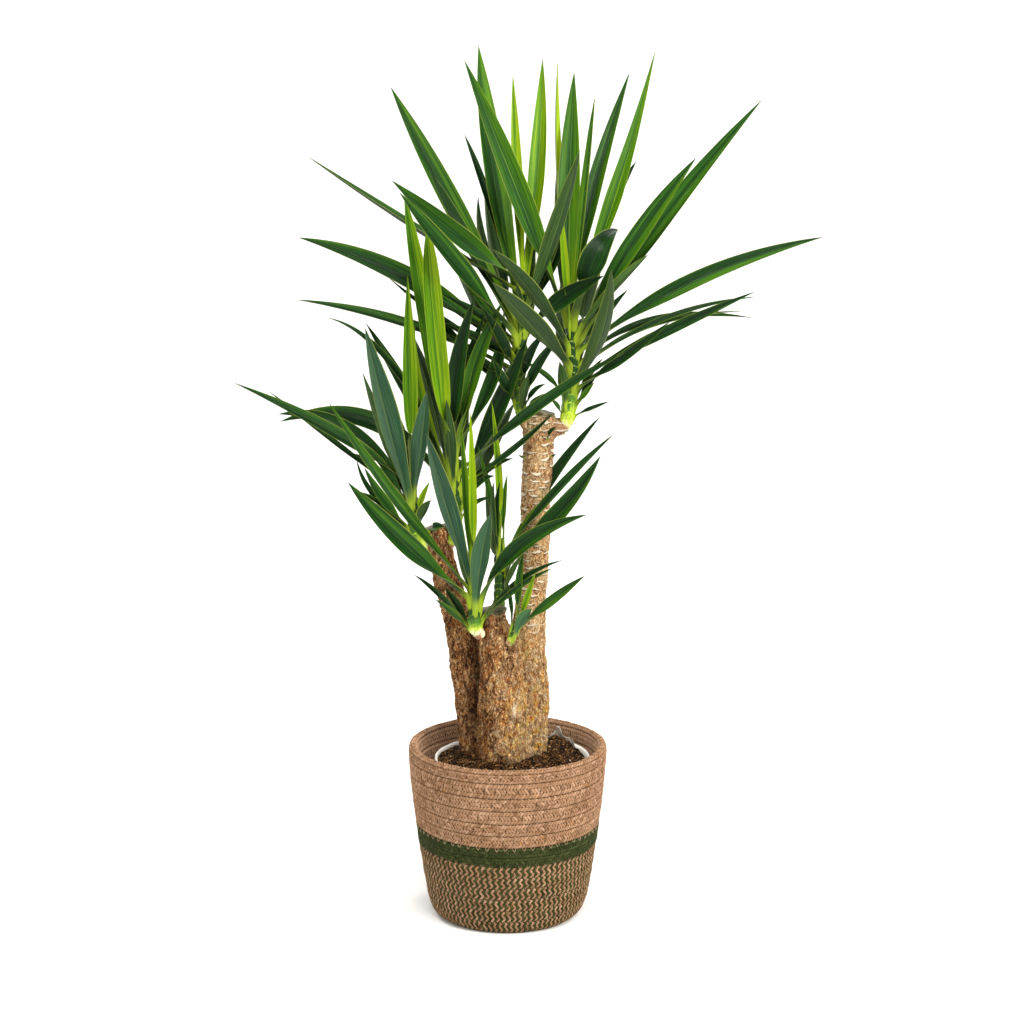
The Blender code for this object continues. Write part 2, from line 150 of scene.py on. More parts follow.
def makePiece(name, parts, material, uvWrap=0.0):
    points, quads, triangles, uv = [np.concatenate(parts[label]) for label in ("points", "quads", "triangles", "uv")]
    corners = np.concatenate([quads.ravel(), triangles.ravel()]).astype(np.int32)
    starts = np.concatenate([np.arange(len(quads)) * 4, len(quads) * 4 + np.arange(len(triangles)) * 3])
    mesh = bpy.data.meshes.new(name)
    mesh.vertices.add(len(points))
    mesh.vertices.foreach_set("co", np.ascontiguousarray(points, dtype=np.float32).ravel())
    mesh.loops.add(len(corners))
    mesh.loops.foreach_set("vertex_index", corners)
    mesh.polygons.add(len(starts))
    mesh.polygons.foreach_set("loop_start", starts.astype(np.int32))
    mesh.polygons.foreach_set("use_smooth", np.full(len(starts), True))
    mesh.update(calc_edges=True)
    for label, values in parts["values"].items():
        layer = mesh.attributes.new(label, "FLOAT", "POINT")
        layer.data.foreach_set("value", np.concatenate(values).astype(np.float32))
    spread = uv[corners]
    if uvWrap:  # where a face crosses the seam, its low side is carried on past the end of the pattern
        square = spread[:len(quads) * 4].reshape(-1, 4, 2)
        low = square[..., 0] < square[..., 0].max(axis=1, keepdims=True) - uvWrap / 2
        square[..., 0] += np.where(low, uvWrap, 0.0)
    mesh.uv_layers.new(name="surface").data.foreach_set("uv", spread.astype(np.float32).ravel())
    mesh.materials.append(material)
    piece = addObject(name, mesh)
    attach(piece, "root")
    return piece


def feed(tree, socket, value):  # another socket is linked, anything else is set; a colour may leave its alpha out
    if isinstance(value, bpy.types.NodeSocket):
        tree.links.new(value, socket)
    elif socket.type == "RGBA":
        socket.default_value = (*value[:3], 1.0)
    else:
        socket.default_value = value


def node(tree, kind, inputs=None, **settings):
    made = tree.nodes.new(kind)
    for label, value in settings.items():
        setattr(made, label, value)
    for label, value in (inputs or {}).items():
        feed(tree, made.inputs[label], value)
    return made


def maths(tree, operation, first, second=0.0, third=0.0, clamp=False):
    made = node(tree, "ShaderNodeMath", operation=operation, use_clamp=clamp)
    for socket, value in zip(made.inputs, (first, second, third)):
        feed(tree, socket, value)
    return made.outputs[0]


def times(tree, first, second):
    return maths(tree, "MULTIPLY", first, second)


def scaled(tree, value, factor, added, clamp=False):
    return maths(tree, "MULTIPLY_ADD", value, factor, added, clamp)


def swing(tree, value, amount, base, clamp=False):  # a pattern about one half, as a swing either way of the base
    return scaled(tree, maths(tree, "SUBTRACT", value, 0.5), amount, base, clamp)


def ease(tree, value, low, high):  # the same S curve as smooth, in a material; low may be the greater
    return node(tree, "ShaderNodeMapRange", {"Value": value, "From Min": low, "From Max": high},
                interpolation_type="SMOOTHSTEP").outputs[0]


def blend(tree, share, first, second, kind="MIX"):
    made = node(tree, "ShaderNodeMix", {0: share}, data_type="RGBA", blend_type=kind)
    feed(tree, made.inputs[6], first)
    feed(tree, made.inputs[7], second)
    return made.outputs[2]


def stain(tree, colour, other, value, amount):  # another colour laid on as far as a value times an amount
    return blend(tree, times(tree, value, amount), colour, other)


def coats(tree, colour, *rows):
    # each row lays one colour over those before it: the colour, a value, where it starts, where it is full, how far
    for other, value, low, high, amount in rows:
        colour = stain(tree, colour, other, ease(tree, value, low, high), amount)
    return colour


def ramp(tree, share, colours, **places):  # named colours of one dictionary, each at its place on the scale
    made = node(tree, "ShaderNodeValToRGB", {"Fac": share})
    while len(made.color_ramp.elements) < len(places):
        made.color_ramp.elements.new(1.0)
    for element, (label, place) in zip(made.color_ramp.elements, places.items()):
        element.position, element.color = place, (*colours[label], 1.0)
    return made.outputs[0]


def noise(tree, vector, scale, detail=2.0, roughness=0.5):
    return node(tree, "ShaderNodeTexNoise", {"Vector": vector, "Scale": scale, "Detail": detail,
                                             "Roughness": roughness}).outputs[0]


def combined(tree, x, y, z=0.0):
    return node(tree, "ShaderNodeCombineXYZ", {"X": x, "Y": y, "Z": z}).outputs[0]


def separated(tree, vector):
    return node(tree, "ShaderNodeSeparateXYZ", {0: vector}).outputs[:]


def vectorMaths(tree, operation, *values):
    return node(tree, "ShaderNodeVectorMath", dict(enumerate(values)), operation=operation).outputs


def cellChance(tree, vector):  # a random number for each whole vector
    return node(tree, "ShaderNodeTexWhiteNoise", {"Vector": vector}).outputs["Value"]


def attributes(tree, *names):
    return [node(tree, "ShaderNodeAttribute", attribute_name=name).outputs["Fac"] for name in names]


def objectPlace(tree):
    return node(tree, "ShaderNodeTexCoord").outputs["Object"]


def surfacePlace(tree):
    return node(tree, "ShaderNodeUVMap", uv_map="surface").outputs[0]


def stretched(tree, vector, scale, shift=(0.0, 0.0, 0.0)):
    return node(tree, "ShaderNodeMapping", {"Vector": vector, "Scale": scale, "Location": shift}).outputs[0]


def newGroup(name, inputs, outputs):  # a shader node group that puts out masks: its tree, inlets and outlets
    tree = bpy.data.node_groups.new(name, "ShaderNodeTree")
    for label, kind in inputs.items():
        tree.interface.new_socket(label, in_out="INPUT", socket_type=kind)
    for label in outputs:
        tree.interface.new_socket(label, in_out="OUTPUT", socket_type="NodeSocketFloat")
    inlet, outlet = tree.nodes.new("NodeGroupInput"), tree.nodes.new("NodeGroupOutput")
    return tree, inlet.outputs, outlet.inputs


def useGroup(tree, name, inputs):
    return node(tree, "ShaderNodeGroup", inputs, node_tree=bpy.data.node_groups[name]).outputs


def newMaterial(name, specular):  # a material with one Principled shader
    material = bpy.data.materials.new(name)
    material.use_nodes = True
    inputs = material.node_tree.nodes["Principled BSDF"].inputs
    inputs["Specular IOR Level"].default_value = specular
    return material, material.node_tree, inputs


def finish(tree, inputs, colour, roughness, height=None, depth=0.0005, strength=1.0):
    tree.links.new(colour, inputs["Base Color"])
    feed(tree, inputs["Roughness"], roughness)
    if height is not None:
        bump = node(tree, "ShaderNodeBump", {"Height": height, "Strength": strength, "Distance": depth})
        tree.links.new(bump.outputs[0], inputs["Normal"])


camera = {"place": (0.006, -3.0, 1.15), "down": 11.15, "lens": 80.09, "sensor": 36}  # metres, degrees, millimetres
eye = addObject("camera", bpy.data.cameras.new("camera"))
eye.location = camera["place"]
eye.rotation_euler = (math.radians(90 - camera["down"]), 0, 0)
eye.data.lens, eye.data.sensor_width = camera["lens"], camera["sensor"]
bpy.context.scene.camera = eye
bpy.context.scene.view_settings.view_transform = "Standard"

# lamps in metres: place, the point faced, width, power and colour
middle = (0.0, 0.0, 0.65)
lamps = {
    "keyRight": ((2.1, -1.7, 2.1), middle, 0.9, 92, (1.0, 0.97, 0.91)),
    "fillLeft": ((-2.2, -1.8, 1.6), middle, 1.4, 20, (1.0, 0.99, 0.96)),
    "topSoft": ((0.1, -1.1, 2.6), middle, 0.9, 44, (1.0, 0.98, 0.94)),
    "backLeft": ((-1.6, 1.7, 2.3), middle, 0.9, 40, (1.0, 0.99, 0.96)),
    "backRight": ((1.7, 1.7, 1.9), middle, 0.9, 34, (1.0, 0.99, 0.96)),
    "wallWash": ((0.0, 1.9, 3.3), (0.0, 4.8, 1.2), 2.4, 100, (1.0, 1.0, 1.0)),
}
for name, (place, target, width, power, colour) in lamps.items():
    light = bpy.data.lights.new(name, "AREA")
    light.size, light.energy, light.color = width, power, colour
    lamp = addObject(name, light)
    aim = unit(np.array(target) - np.array(place))
    lamp.location = place
    lamp.rotation_euler = (math.acos(-aim[2]), 0, math.atan2(aim[1], aim[0]) - math.pi / 2)

worldLight = 0.15
world = bpy.data.worlds.new("studio")
world.use_nodes = True
background = world.node_tree.nodes["Background"]
background.inputs["Color"].default_value = (1.0, 1.0, 1.0, 1.0)
background.inputs["Strength"].default_value = worldLight
bpy.context.scene.world = world

# in metres: the rings of the level part, its half width, the bend up to the wall and the wall's top
studio = {"level": (0.3, 1.5), "half": 3.6, "bend": 1.2, "rise": 3.4, "below": 0.0004, "steps": 24, "sides": 96,
          "colour": (0.93, 0.93, 0.925), "shade": (0.91, 0.91, 0.905)}


def makeFloor():
    # a round floor that bends up into a wall all round: level, then a quarter circle, then straight up
    arc = np.linspace(0, math.pi / 2, studio["steps"])
    half, bend = studio["half"], studio["bend"]
    away = np.concatenate([studio["level"], half + bend * np.sin(arc), [half + bend]])[:, None]
    up = np.concatenate([[0.0, 0.0], bend * (1 - np.cos(arc)), [studio["rise"]]])[:, None] - studio["below"]
    rings = onRings(away, roundAngles(studio["sides"]), up).reshape(-1, 3)
    quads = gridQuads(len(away), studio["sides"])[:, ::-1]
    centre = fan(np.arange(studio["sides"]), len(rings))
    mesh = bpy.data.meshes.new("floor")
    mesh.from_pydata(rings.tolist() + [[0.0, 0.0, -studio["below"]]], [], quads.tolist() + centre.tolist())
    mesh.polygons.foreach_set("use_smooth", np.full(len(mesh.polygons), True))
    material, tree, inputs = newMaterial("paleFloor", 0.2)
    colour = blend(tree, noise(tree, objectPlace(tree), 3.0, 3.0), studio["colour"], studio["shade"])
    finish(tree, inputs, colour, 0.9)
    mesh.materials.append(material)
    floor = addObject("floor", mesh)


makeFloor()
print("camera, lamps and floor set")

# the basket: one plaited rope sewn round and round, a row of it to each step in height
basket = {
    "seams": (0.0, 1.8, 3.5, 5.15, 6.8, 8.4, 10.05, 11.38, 12.83, 14.6, 16.3, 18.1, 19.9, 22.05, 23.25),
    "insideSeams": (23.25, 21.3, 19.5, 17.7, 15.9), "greenFrom": 6, "naturalFrom": 8,
    "mixedPairs": 92, "plainPairs": 90, "perPair": 10, "perRow": 9, "wall": 1.0, "rim": 0.55,
    "bulge": 0.085, "strand": 0.095, "pinch": 0.06, "wander": 0.05, "waver": 0.05,
    "baseRadius": 9.75, "baseTurns": 6, "baseSteps": 4, "baseTop": 1.0, "baseSag": 0.10,
    "heights": (0.0, 0.4, 0.9, 1.8, 3.0, 6.0, 12.0, 18.0, 22.0, 24.0),
    "radii": (9.75, 10.2, 10.5, 10.85, 11.12, 11.62, 12.5, 13.2, 13.5, 13.5),
    "tan": (0.312, 0.164, 0.084), "tanLight": (0.66, 0.425, 0.275), "tanDark": (0.076, 0.032, 0.012),
    "green": (0.030, 0.040, 0.011), "greenLight": (0.110, 0.125, 0.045), "greenDark": (0.006, 0.010, 0.002),
    "fleck": (0.62, 0.27, 0.05),
}
seams = basket["seams"]


def wallRadius(height):
    fine = np.linspace(-1, 25, 261)
    line = np.interp(fine, basket["heights"], basket["radii"])
    for _ in range(12):
        line[1:-1] = (line[:-2] + line[1:-1] * 2 + line[2:]) / 4
    return np.interp(height, fine, line)


def zig(v):  # a strand runs up to the right, back and up to the right again in one row: -0.25 to 0.25 of a pair
    third = v * 3
    return np.where(third < 1, third - 0.5, np.where(third < 2, 1.5 - third, third - 2.5)) * 0.5


def plaitHeight(x, v, row):
    # x counts pairs of strands round the basket and v climbs one row. The relief is a lobe to each strand across its
    # own slant, pinched where the slant turns: |sin 2 pi q| and |sin 3 pi v|, with q = x - zig(v).
    q = x - zig(v)
    strand = np.abs(np.sin(turn * q)) ** 0.7 - 0.5
    pinch = np.abs(np.sin(3 * math.pi * v)) ** 0.6 - 0.6
    spread = softNoise(spots(x * 0.9, row * 3.1 + v * 2.5, 0.0), 5)
    return basket["strand"] * strand * (1 + 0.35 * spread) + basket["pinch"] * pinch + 0.025 * spread


def rowBulge(v):
    return 1 - np.abs(2 * v - 1) ** 3.2


def rollAround(pairs, rows, seed):
    # rings of points and their pattern places. Each row is its number and a line: a function of v from 0 to 1 that
    # gives radius, height and the two parts of the outward direction. Relief, bulge and wander go along that.
    x = np.arange(pairs * basket["perPair"])[None, :] / basket["perPair"]
    angle = x / pairs * turn
    rings, places = [], []
    for index, (number, line) in enumerate(rows):
        steps = basket["perRow"]
        v = (np.arange(steps + (index == len(rows) - 1)) / steps)[:, None]
        radius, height, outR, outZ = line(v)
        shifted = x + number * 0.37 + 0.12 * math.sin(number * 2.3)  # each row starts a little further round
        relief = plaitHeight(shifted, v, number) + basket["bulge"] * (rowBulge(v) - 1)
        relief = relief + basket["wander"] * softNoise(spots(angle * 3.0, number * 2.7, seed + 0 * v), 9)
        waver = basket["waver"] * softNoise(onRings(2, angle, number * 0.8 + v), 3)
        rings.append(onRings(radius + relief * outR, angle, np.maximum(height + relief * outZ + waver, 0.0)))
        places.append(spots(shifted, number + v * 0.9999))
    return np.concatenate(rings), np.concatenate(places)


def sewnRows(pairs, rows, seed, back):
    # rows of rope sewn one on another; plain rings at each radius and height in back carry the last ring to the first
    points, uv = rollAround(pairs, rows, seed)
    columns = points.shape[1]
    radius, height = np.array(back).T[..., None]
    points = np.concatenate([points, onRings(radius, roundAngles(columns), height)])
    uv = np.concatenate([uv, spots(uv[-1, :, 0], -1.0 - np.arange(len(back))[:, None])])
    parts = newGather()
    gather(parts, points, gridQuads(len(points) + 1, columns) % (len(points) * columns), uv=uv)
    return parts


def wallLine(low, high, inset=0.0, side=1.0):  # along the wall from one height to another; side -1 faces the middle
    return lambda v: (wallRadius(low + (high - low) * v) - inset, low + (high - low) * v, side, 0.0)


def wallRows(first, last):
    return [(k, wallLine(seams[k], seams[k + 1])) for k in range(first, last)]


def rimLine(v):  # over the top: half a turn of the rolled rim
    lean = v * math.pi
    rim, top = basket["rim"], seams[-1]
    return wallRadius(top) - rim + rim * np.cos(lean), top + rim * np.sin(lean), np.cos(lean), np.sin(lean)


def behind(*heights):  # radius and height of points on the back of the wall
    return [(wallRadius(height) - basket["wall"], height) for height in heights]


def plaitGroup():
    # the same plait as the relief, for colour: which strand of a pair, the groove between strands, the pinch of a row
    tree, given, out = newGroup("plait", {"Place": "NodeSocketVector"},
                                ("Strand", "Groove", "Seam", "Fibre", "Tint", "Needle", "Hole"))
    x, y, _ = separated(tree, given["Place"])
    v, row = maths(tree, "FRACT", y), maths(tree, "FLOOR", y)
    slant = maths(tree, "PINGPONG", times(tree, v, 3.0), 1.0)
    q = maths(tree, "SUBTRACT", x, scaled(tree, slant, 0.5, -0.25))
    wave = maths(tree, "SINE", times(tree, q, turn))
    groove = maths(tree, "ABSOLUTE", wave)
    pinch = maths(tree, "ABSOLUTE", maths(tree, "SINE", times(tree, v, 3 * math.pi)))

    def fromHalf(value):
        return maths(tree, "ABSOLUTE", maths(tree, "SUBTRACT", value, 0.5))

    dash = ease(tree, fromHalf(maths(tree, "FRACT", scaled(tree, x, 1.0, times(tree, row, 0.27)))), 0.40, 0.26)
    stitch = fromHalf(maths(tree, "FRACT", scaled(tree, x, 0.62, times(tree, row, 0.41))))
    edge = maths(tree, "ABSOLUTE", scaled(tree, v, 2.0, -1.0))
    along = combined(tree, times(tree, q, 26.0), times(tree, y, 7.0), times(tree, row, 3.7))
    piece = combined(tree, maths(tree, "FLOOR", times(tree, q, 2.0)), maths(tree, "FLOOR", times(tree, y, 3.0)), row)
    values = {
        "Strand": ease(tree, wave, -0.14, 0.14),
        "Groove": times(tree, ease(tree, groove, 0.0, 0.55), ease(tree, pinch, -0.35, 0.45)),
        "Hole": times(tree, ease(tree, groove, 0.74, 0.20), ease(tree, pinch, 0.78, 0.22)),
        "Seam": times(tree, ease(tree, edge, 0.82, 0.97), scaled(tree, dash, 0.80, 0.14)),
        "Fibre": noise(tree, along, 1.0, 3.0, 0.65),
        "Tint": cellChance(tree, piece),
        "Needle": times(tree, ease(tree, stitch, 0.10, 0.045), ease(tree, fromHalf(v), 0.14, 0.05)),
    }
    for label, value in values.items():
        tree.links.new(value, out[label])


def ropeMaterial(name, first, second, shadow, contrast, flecks):
    # first and second are the plain, light and dark colours of a pair's two strands
    material, tree, inputs = newMaterial(name, 0.06)
    place = surfacePlace(tree)
    plait = useGroup(tree, "plait", {"Place": place})
    fibre, tint = plait["Fibre"], plait["Tint"]
    patch = noise(tree, objectPlace(tree), 22.0, 3.0, 0.6)
    thread = noise(tree, stretched(tree, place, (9.0, 0.9, 1.0)), 2.2, 4.0, 0.75)
    colour, light, dark = [blend(tree, plait["Strand"], one, two) for one, two in zip(first, second)]
    colour = coats(tree, colour, (light, fibre, 0.50, 0.70, contrast), (dark, fibre, 0.48, 0.28, contrast),
                   (light, tint, 0.72, 1.0, 0.40), (dark, tint, 0.28, 0.0, 0.45), (light, patch, 0.42, 0.62, 0.12))
    # painted light: the inner wall, from pattern row 14.6 to 19.9, is laid over with the light strand colour, for the
    # light that falls inside the basket
    level = separated(tree, place)[1]
    inside = times(tree, ease(tree, level, 14.6, 15.1), ease(tree, level, 19.9, 19.5))
    colour = stain(tree, colour, light, inside, 0.55)
    warm = cellChance(tree, vectorMaths(tree, "FLOOR", stretched(tree, place, (4.0, 3.0, 1.0)))["Vector"])
    fleck = times(tree, ease(tree, warm, 0.990, 0.994), ease(tree, thread, 0.45, 0.6))
    colour = stain(tree, colour, basket["fleck"], fleck, flecks)
    shade = times(tree, maths(tree, "SUBTRACT", 1.0, plait["Groove"]), shadow)
    for label, depth in (("Seam", 0.90), ("Needle", 0.80), ("Hole", 0.92)):
        shade = maths(tree, "MAXIMUM", shade, times(tree, plait[label], depth))
    colour = blend(tree, shade, colour, [part * 0.35 for part in first[2]])
    height = scaled(tree, thread, 0.5, scaled(tree, fibre, 0.8, times(tree, plait["Groove"], 0.7)))
    finish(tree, inputs, colour, scaled(tree, fibre, 0.15, 0.74), height, 0.0009, 0.75)
    return material


plaitGroup()
tanRope = (basket["tan"], basket["tanLight"], basket["tanDark"])
greenRope = (basket["green"], basket["greenLight"], basket["greenDark"])
naturalFinish = ropeMaterial("naturalRope", tanRope, tanRope, 0.60, 1.0, 1.0)
greenFinish = ropeMaterial("greenRope", greenRope, greenRope, 0.55, 1.0, 0.0)
mixedFinish = ropeMaterial("mixedRope", tanRope, greenRope, 0.75, 0.55, 0.6)

inside = basket["insideSeams"]
rows = wallRows(basket["naturalFrom"], len(seams) - 1) + [(14, rimLine)]
rows += [(15 + k, wallLine(inside[k], inside[k + 1], 2 * basket["rim"], -1.0)) for k in range(len(inside) - 1)]
natural = sewnRows(basket["plainPairs"], rows, 1, behind(14.4, 12.9))
naturalPiece = makePiece("natural_rope", natural, naturalFinish, uvWrap=basket["plainPairs"])
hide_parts("natural_rope_coils")

green = sewnRows(basket["plainPairs"], wallRows(basket["greenFrom"], basket["naturalFrom"]), 2, behind(12.7, 10.2))
greenPiece = makePiece("green_rope", green, greenFinish, uvWrap=basket["plainPairs"])
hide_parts("green_rope_coils")

back = behind(9.9, 5.0, 1.9) + [(9.2, 1.0), (9.2, 0.3)]
mixed = sewnRows(basket["mixedPairs"], wallRows(0, basket["greenFrom"]), 3, back)
# the base: the same rope coiled flat, from the middle out to the wall on top and back to the middle underneath
v = np.arange(basket["baseTurns"] * basket["baseSteps"])[:, None] / basket["baseSteps"]
radius = basket["baseRadius"] * (1 - v / basket["baseTurns"])
angle = roundAngles(basket["mixedPairs"] * 3)
over = onRings(radius[::-1], angle, basket["baseTop"])
under = onRings(radius, angle, basket["baseSag"] * (1 - rowBulge(v % 1.0)))
over[-1, :, :2] *= 0.99
points, quads, triangles = capped(np.concatenate([over, under]), (0, 0, basket["baseTop"]), (0, 0, 0.02), turned=True)
uv = np.concatenate([spots(angle / turn * basket["mixedPairs"], start + v).reshape(-1, 2) for start in (40, 20)])
gather(mixed, points, quads, triangles, uv=np.concatenate([uv, [[0, 46], [0, 26]]]))
mixedPiece = makePiece("mixed_rope", mixed, mixedFinish, uvWrap=basket["mixedPairs"])
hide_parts("mixed_rope_coils")
print("basket:", natural["count"] + green["count"] + mixed["count"], "points")

# the canes: height, x, y and radius of points up each one
canes = {
    "tall": ((19, 2.3, 1.5, 3.1), (22, 2.4, 1.5, 3.25), (26, 2.5, 1.5, 3.2), (29.5, 2.7, 1.6, 3.05),
             (33, 2.8, 1.7, 2.55), (38, 2.9, 1.8, 2.3), (45, 3.3, 2.0, 2.15), (51, 3.7, 2.2, 2.05),
             (58, 3.85, 2.3, 2.0), (65, 4.15, 2.4, 2.0), (67.5, 4.3, 2.5, 2.15), (69.0, 4.55, 2.5, 1.75)),
    "left": ((19, -4.35, 0.6, 1.85), (25, -4.8, 0.8, 1.95), (30, -5.4, 1.0, 2.0), (35, -5.95, 1.3, 2.0),
             (40, -6.7, 1.6, 2.0), (45, -7.85, 1.9, 1.95), (50, -9.1, 2.2, 1.9), (53.3, -9.8, 2.4, 1.75)),
    "short": ((19, -0.5, -1.6, 3.75), (21, -0.5, -1.6, 3.8), (27, -0.8, -1.5, 3.6), (31, -0.8, -1.4, 3.2),
              (35, -0.7, -1.3, 2.9), (37.5, -1.0, -1.3, 2.8), (39, -1.4, -1.3, 2.5), (40.5, -1.85, -1.3, 1.95),
              (42.7, -2.05, -1.4, 1.85)),
}
# the knobs that carry the side shoots: x, y, height and radius of points out of the cane
knobs = (((5.0, 2.4, 66.3, 1.5), (6.6, 2.4, 66.9, 1.25), (7.9, 2.3, 67.5, 1.05)),
         ((3.6, 2.3, 66.6, 1.2), (2.7, 2.1, 67.4, 1.0), (2.2, 2.0, 67.9, 0.85)),
         ((-2.2, -2.2, 38.4, 1.1), (-3.0, -2.7, 39.0, 0.85)), ((-0.6, -2.5, 37.6, 1.0), (0.0, -3.3, 38.4, 0.55)),
         ((-9.2, 2.0, 51.0, 1.3), (-10.6, 1.9, 51.2, 0.9)), ((-9.0, 2.2, 50.4, 1.3), (-8.2, 2.2, 50.9, 0.8)),
         ((-1.5, -0.6, 38.4, 1.1), (-1.2, 0.4, 39.6, 0.8)),
         ((-3.3, 0.6, 22.0, 1.5), (-3.5, 0.6, 30.0, 1.35), (-4.0, 0.6, 36.0, 1.1), (-4.3, 0.6, 39.5, 0.8)))
bark = {
    "sides": 36, "pathStep": 0.6, "knobSides": 20, "knobStep": 0.4, "voxel": 0.165, "evenings": 5, "evenShare": 0.55,
    "upperFrom": 33.0, "upperTo": 42.0, "scarStep": 0.98, "scarsRound": 7.0, "ridgesRound": 5, "rosyAt": (7.3, 66.8),
    "plate": 0.17, "flake": 0.075, "grain": 0.10, "step": 0.10, "scar": 0.10, "crevice": 0.30, "wrinkle": 0.10,
    "crack": (0.008, 0.004, 0.0018), "brown": (0.125, 0.049, 0.019), "tan": (0.47, 0.212, 0.078),
    "pale": (0.84, 0.51, 0.235), "bright": (0.95, 0.74, 0.45), "gold": (0.82, 0.40, 0.08),
    "white": (0.97, 0.86, 0.66), "red": (0.25, 0.10, 0.05), "rosy": (0.42, 0.20, 0.12), "darkFoot": (0.012, 0.006, 0.003),
}


def tube(points, sides):
    # rings square to a path of x, y, z and radius, closed at both ends; also the number of each point's ring
    path, radius = np.array(points)[:, :3], np.array(points)[:, 3]
    along = unit(np.gradient(path, axis=0))
    across = unit(np.cross(along, np.array([0.0, 1.0, 0.0])) + np.array([1e-6, 0, 0]))
    angle = roundAngles(sides)[None, :, None]
    spin = np.cos(angle) * across[:, None] + np.sin(angle) * np.cross(along, across)[:, None]
    points, quads, triangles = capped(path[:, None] + radius[:, None, None] * spin, path[0], path[-1])
    return points, quads, triangles, np.append(np.repeat(np.arange(len(path)), sides), [0, len(path) - 1])


def refine(points, step):  # more points along a path, on a smooth curve through the given ones
    data = np.array(points, float)
    far = np.concatenate([[0], np.cumsum(np.linalg.norm(np.diff(data[:, :3], axis=0), axis=1))])
    fine = np.linspace(0, far[-1], max(4, int(far[-1] / step)))
    line = np.stack([np.interp(fine, far, data[:, k]) for k in range(4)], -1)
    for _ in range(max(1, int(0.3 / step ** 2))):
        line[1:-1] = (line[:-2] + 2 * line[1:-1] + line[2:]) / 4
    return line


def caneAxis(name, height):  # a cane's middle and radius at some heights
    data = np.array(canes[name])
    x, y, radius = [np.interp(height, data[:, 0], data[:, k]) for k in (1, 2, 3)]
    return spots(x, y), radius


def readMesh(items, label, kind, width):  # one property of every vertex, corner or edge as rows
    values = np.empty(len(items) * width, kind)
    items.foreach_get(label, values)
    return values.reshape(-1, width)


# canes and knobs as swollen tubes, melted into one skin by a voxel remesh
core = newGather()
for line in canes.values():
    path = refine([(x, y, z, r) for z, x, y, r in line], bark["pathStep"])
    points, quads, triangles, ring = tube(path, bark["sides"])
    swell = softNoise(points * 0.30, 41) * 0.10 + softNoise(points * 0.75, 42) * 0.05
    gather(core, points + (points - path[ring, :3]) * swell[:, None], quads, triangles)
for line in knobs:
    points, quads, triangles, ring = tube(refine(line, bark["knobStep"]), bark["knobSides"])
    gather(core, points + 0.12 * softNoise(points * 0.9, 43)[:, None], quads, triangles)
roughTrunk = addObject("roughTrunk", bpy.data.meshes.new("roughTrunk"))
faces = np.concatenate(core["quads"]).tolist() + np.concatenate(core["triangles"]).tolist()
roughTrunk.data.from_pydata(np.concatenate(core["points"]).tolist(), [], faces)
remesh = roughTrunk.modifiers.new("remesh", "REMESH")
remesh.mode, remesh.voxel_size = "VOXEL", bark["voxel"] * cm
solid = bpy.data.meshes.new_from_object(roughTrunk.evaluated_get(bpy.context.evaluated_depsgraph_get()))
bpy.data.objects.remove(roughTrunk)
points = readMesh(solid.vertices, "co", np.float32, 3).astype(float) / cm
quads = readMesh(solid.loops, "vertex_index", np.int32, 1).reshape(-1, 4)
edges = readMesh(solid.edges, "vertices", np.int32, 2)
counts = np.bincount(edges.ravel(), minlength=len(points))[:, None]
for _ in range(bark["evenings"]):  # evens out the voxel steps and rounds the creases where the canes meet
    total = np.stack([np.bincount(edges[:, 0], points[edges[:, 1], k], len(points)) +
                      np.bincount(edges[:, 1], points[edges[:, 0], k], len(points)) for k in range(3)], -1)
    points = points * (1 - bark["evenShare"]) + total / counts * bark["evenShare"]
faceNormal = np.cross(points[quads[:, 2]] - points[quads[:, 0]], points[quads[:, 3]] - points[quads[:, 1]])
normals = unit(np.stack([sum(np.bincount(quads[:, k], faceNormal[:, axis], len(points)) for k in range(4))
                         for axis in range(3)], -1))

# each point's place round its own cane, the one whose middle is the fewest radii away, and if that is the tall one
best, around, tall = np.full(len(points), 99.0), np.zeros(len(points)), np.zeros(len(points))
reach = {}
for name in canes:
    middle, radius = caneAxis(name, points[:, 2])
    away = reach[name] = np.linalg.norm(points[:, :2] - middle, axis=1) / radius
    own = away < best
    best = np.where(own, away, best)
    around = np.where(own, np.arctan2(points[:, 1] - middle[:, 1], points[:, 0] - middle[:, 0]) + math.pi, around)
    tall = np.where(own, float(name == "tall"), tall)
x, height = points[:, 0], points[:, 2]
upper = smooth(bark["upperFrom"], bark["upperTo"], height) * tall
# the cleft where the left cane stands against the short one, sunk into the bark and darkened as painted shade, and
# the rosy skin round the side shoot's foot
crevice = np.exp(-((reach["left"] - reach["short"]) / 0.24) ** 2)
crevice = crevice * smooth(21, 29, height) * (1 - smooth(38.5, 40.5, height))
rosy = np.exp(-((x - bark["rosyAt"][0]) ** 2 + (height - bark["rosyAt"][1]) ** 2) / 2.2)
warped = points + 0.35 * spots(softNoise(points * 0.8, 61), softNoise(points * 0.8, 62), softNoise(points * 0.5, 63))
edge, owner = plates(warped * np.array([1.15, 1.15, 0.60]), 7)
fineEdge, fineOwner = plates(warped * np.array([2.7, 2.7, 1.7]), 19)
crack = 1 - smooth(0.02, 0.24, edge)
flake = 1 - smooth(0.03, 0.26, fineEdge)
grain = roughNoise(points * np.array([3.0, 3.0, 2.4]), 31, 3)
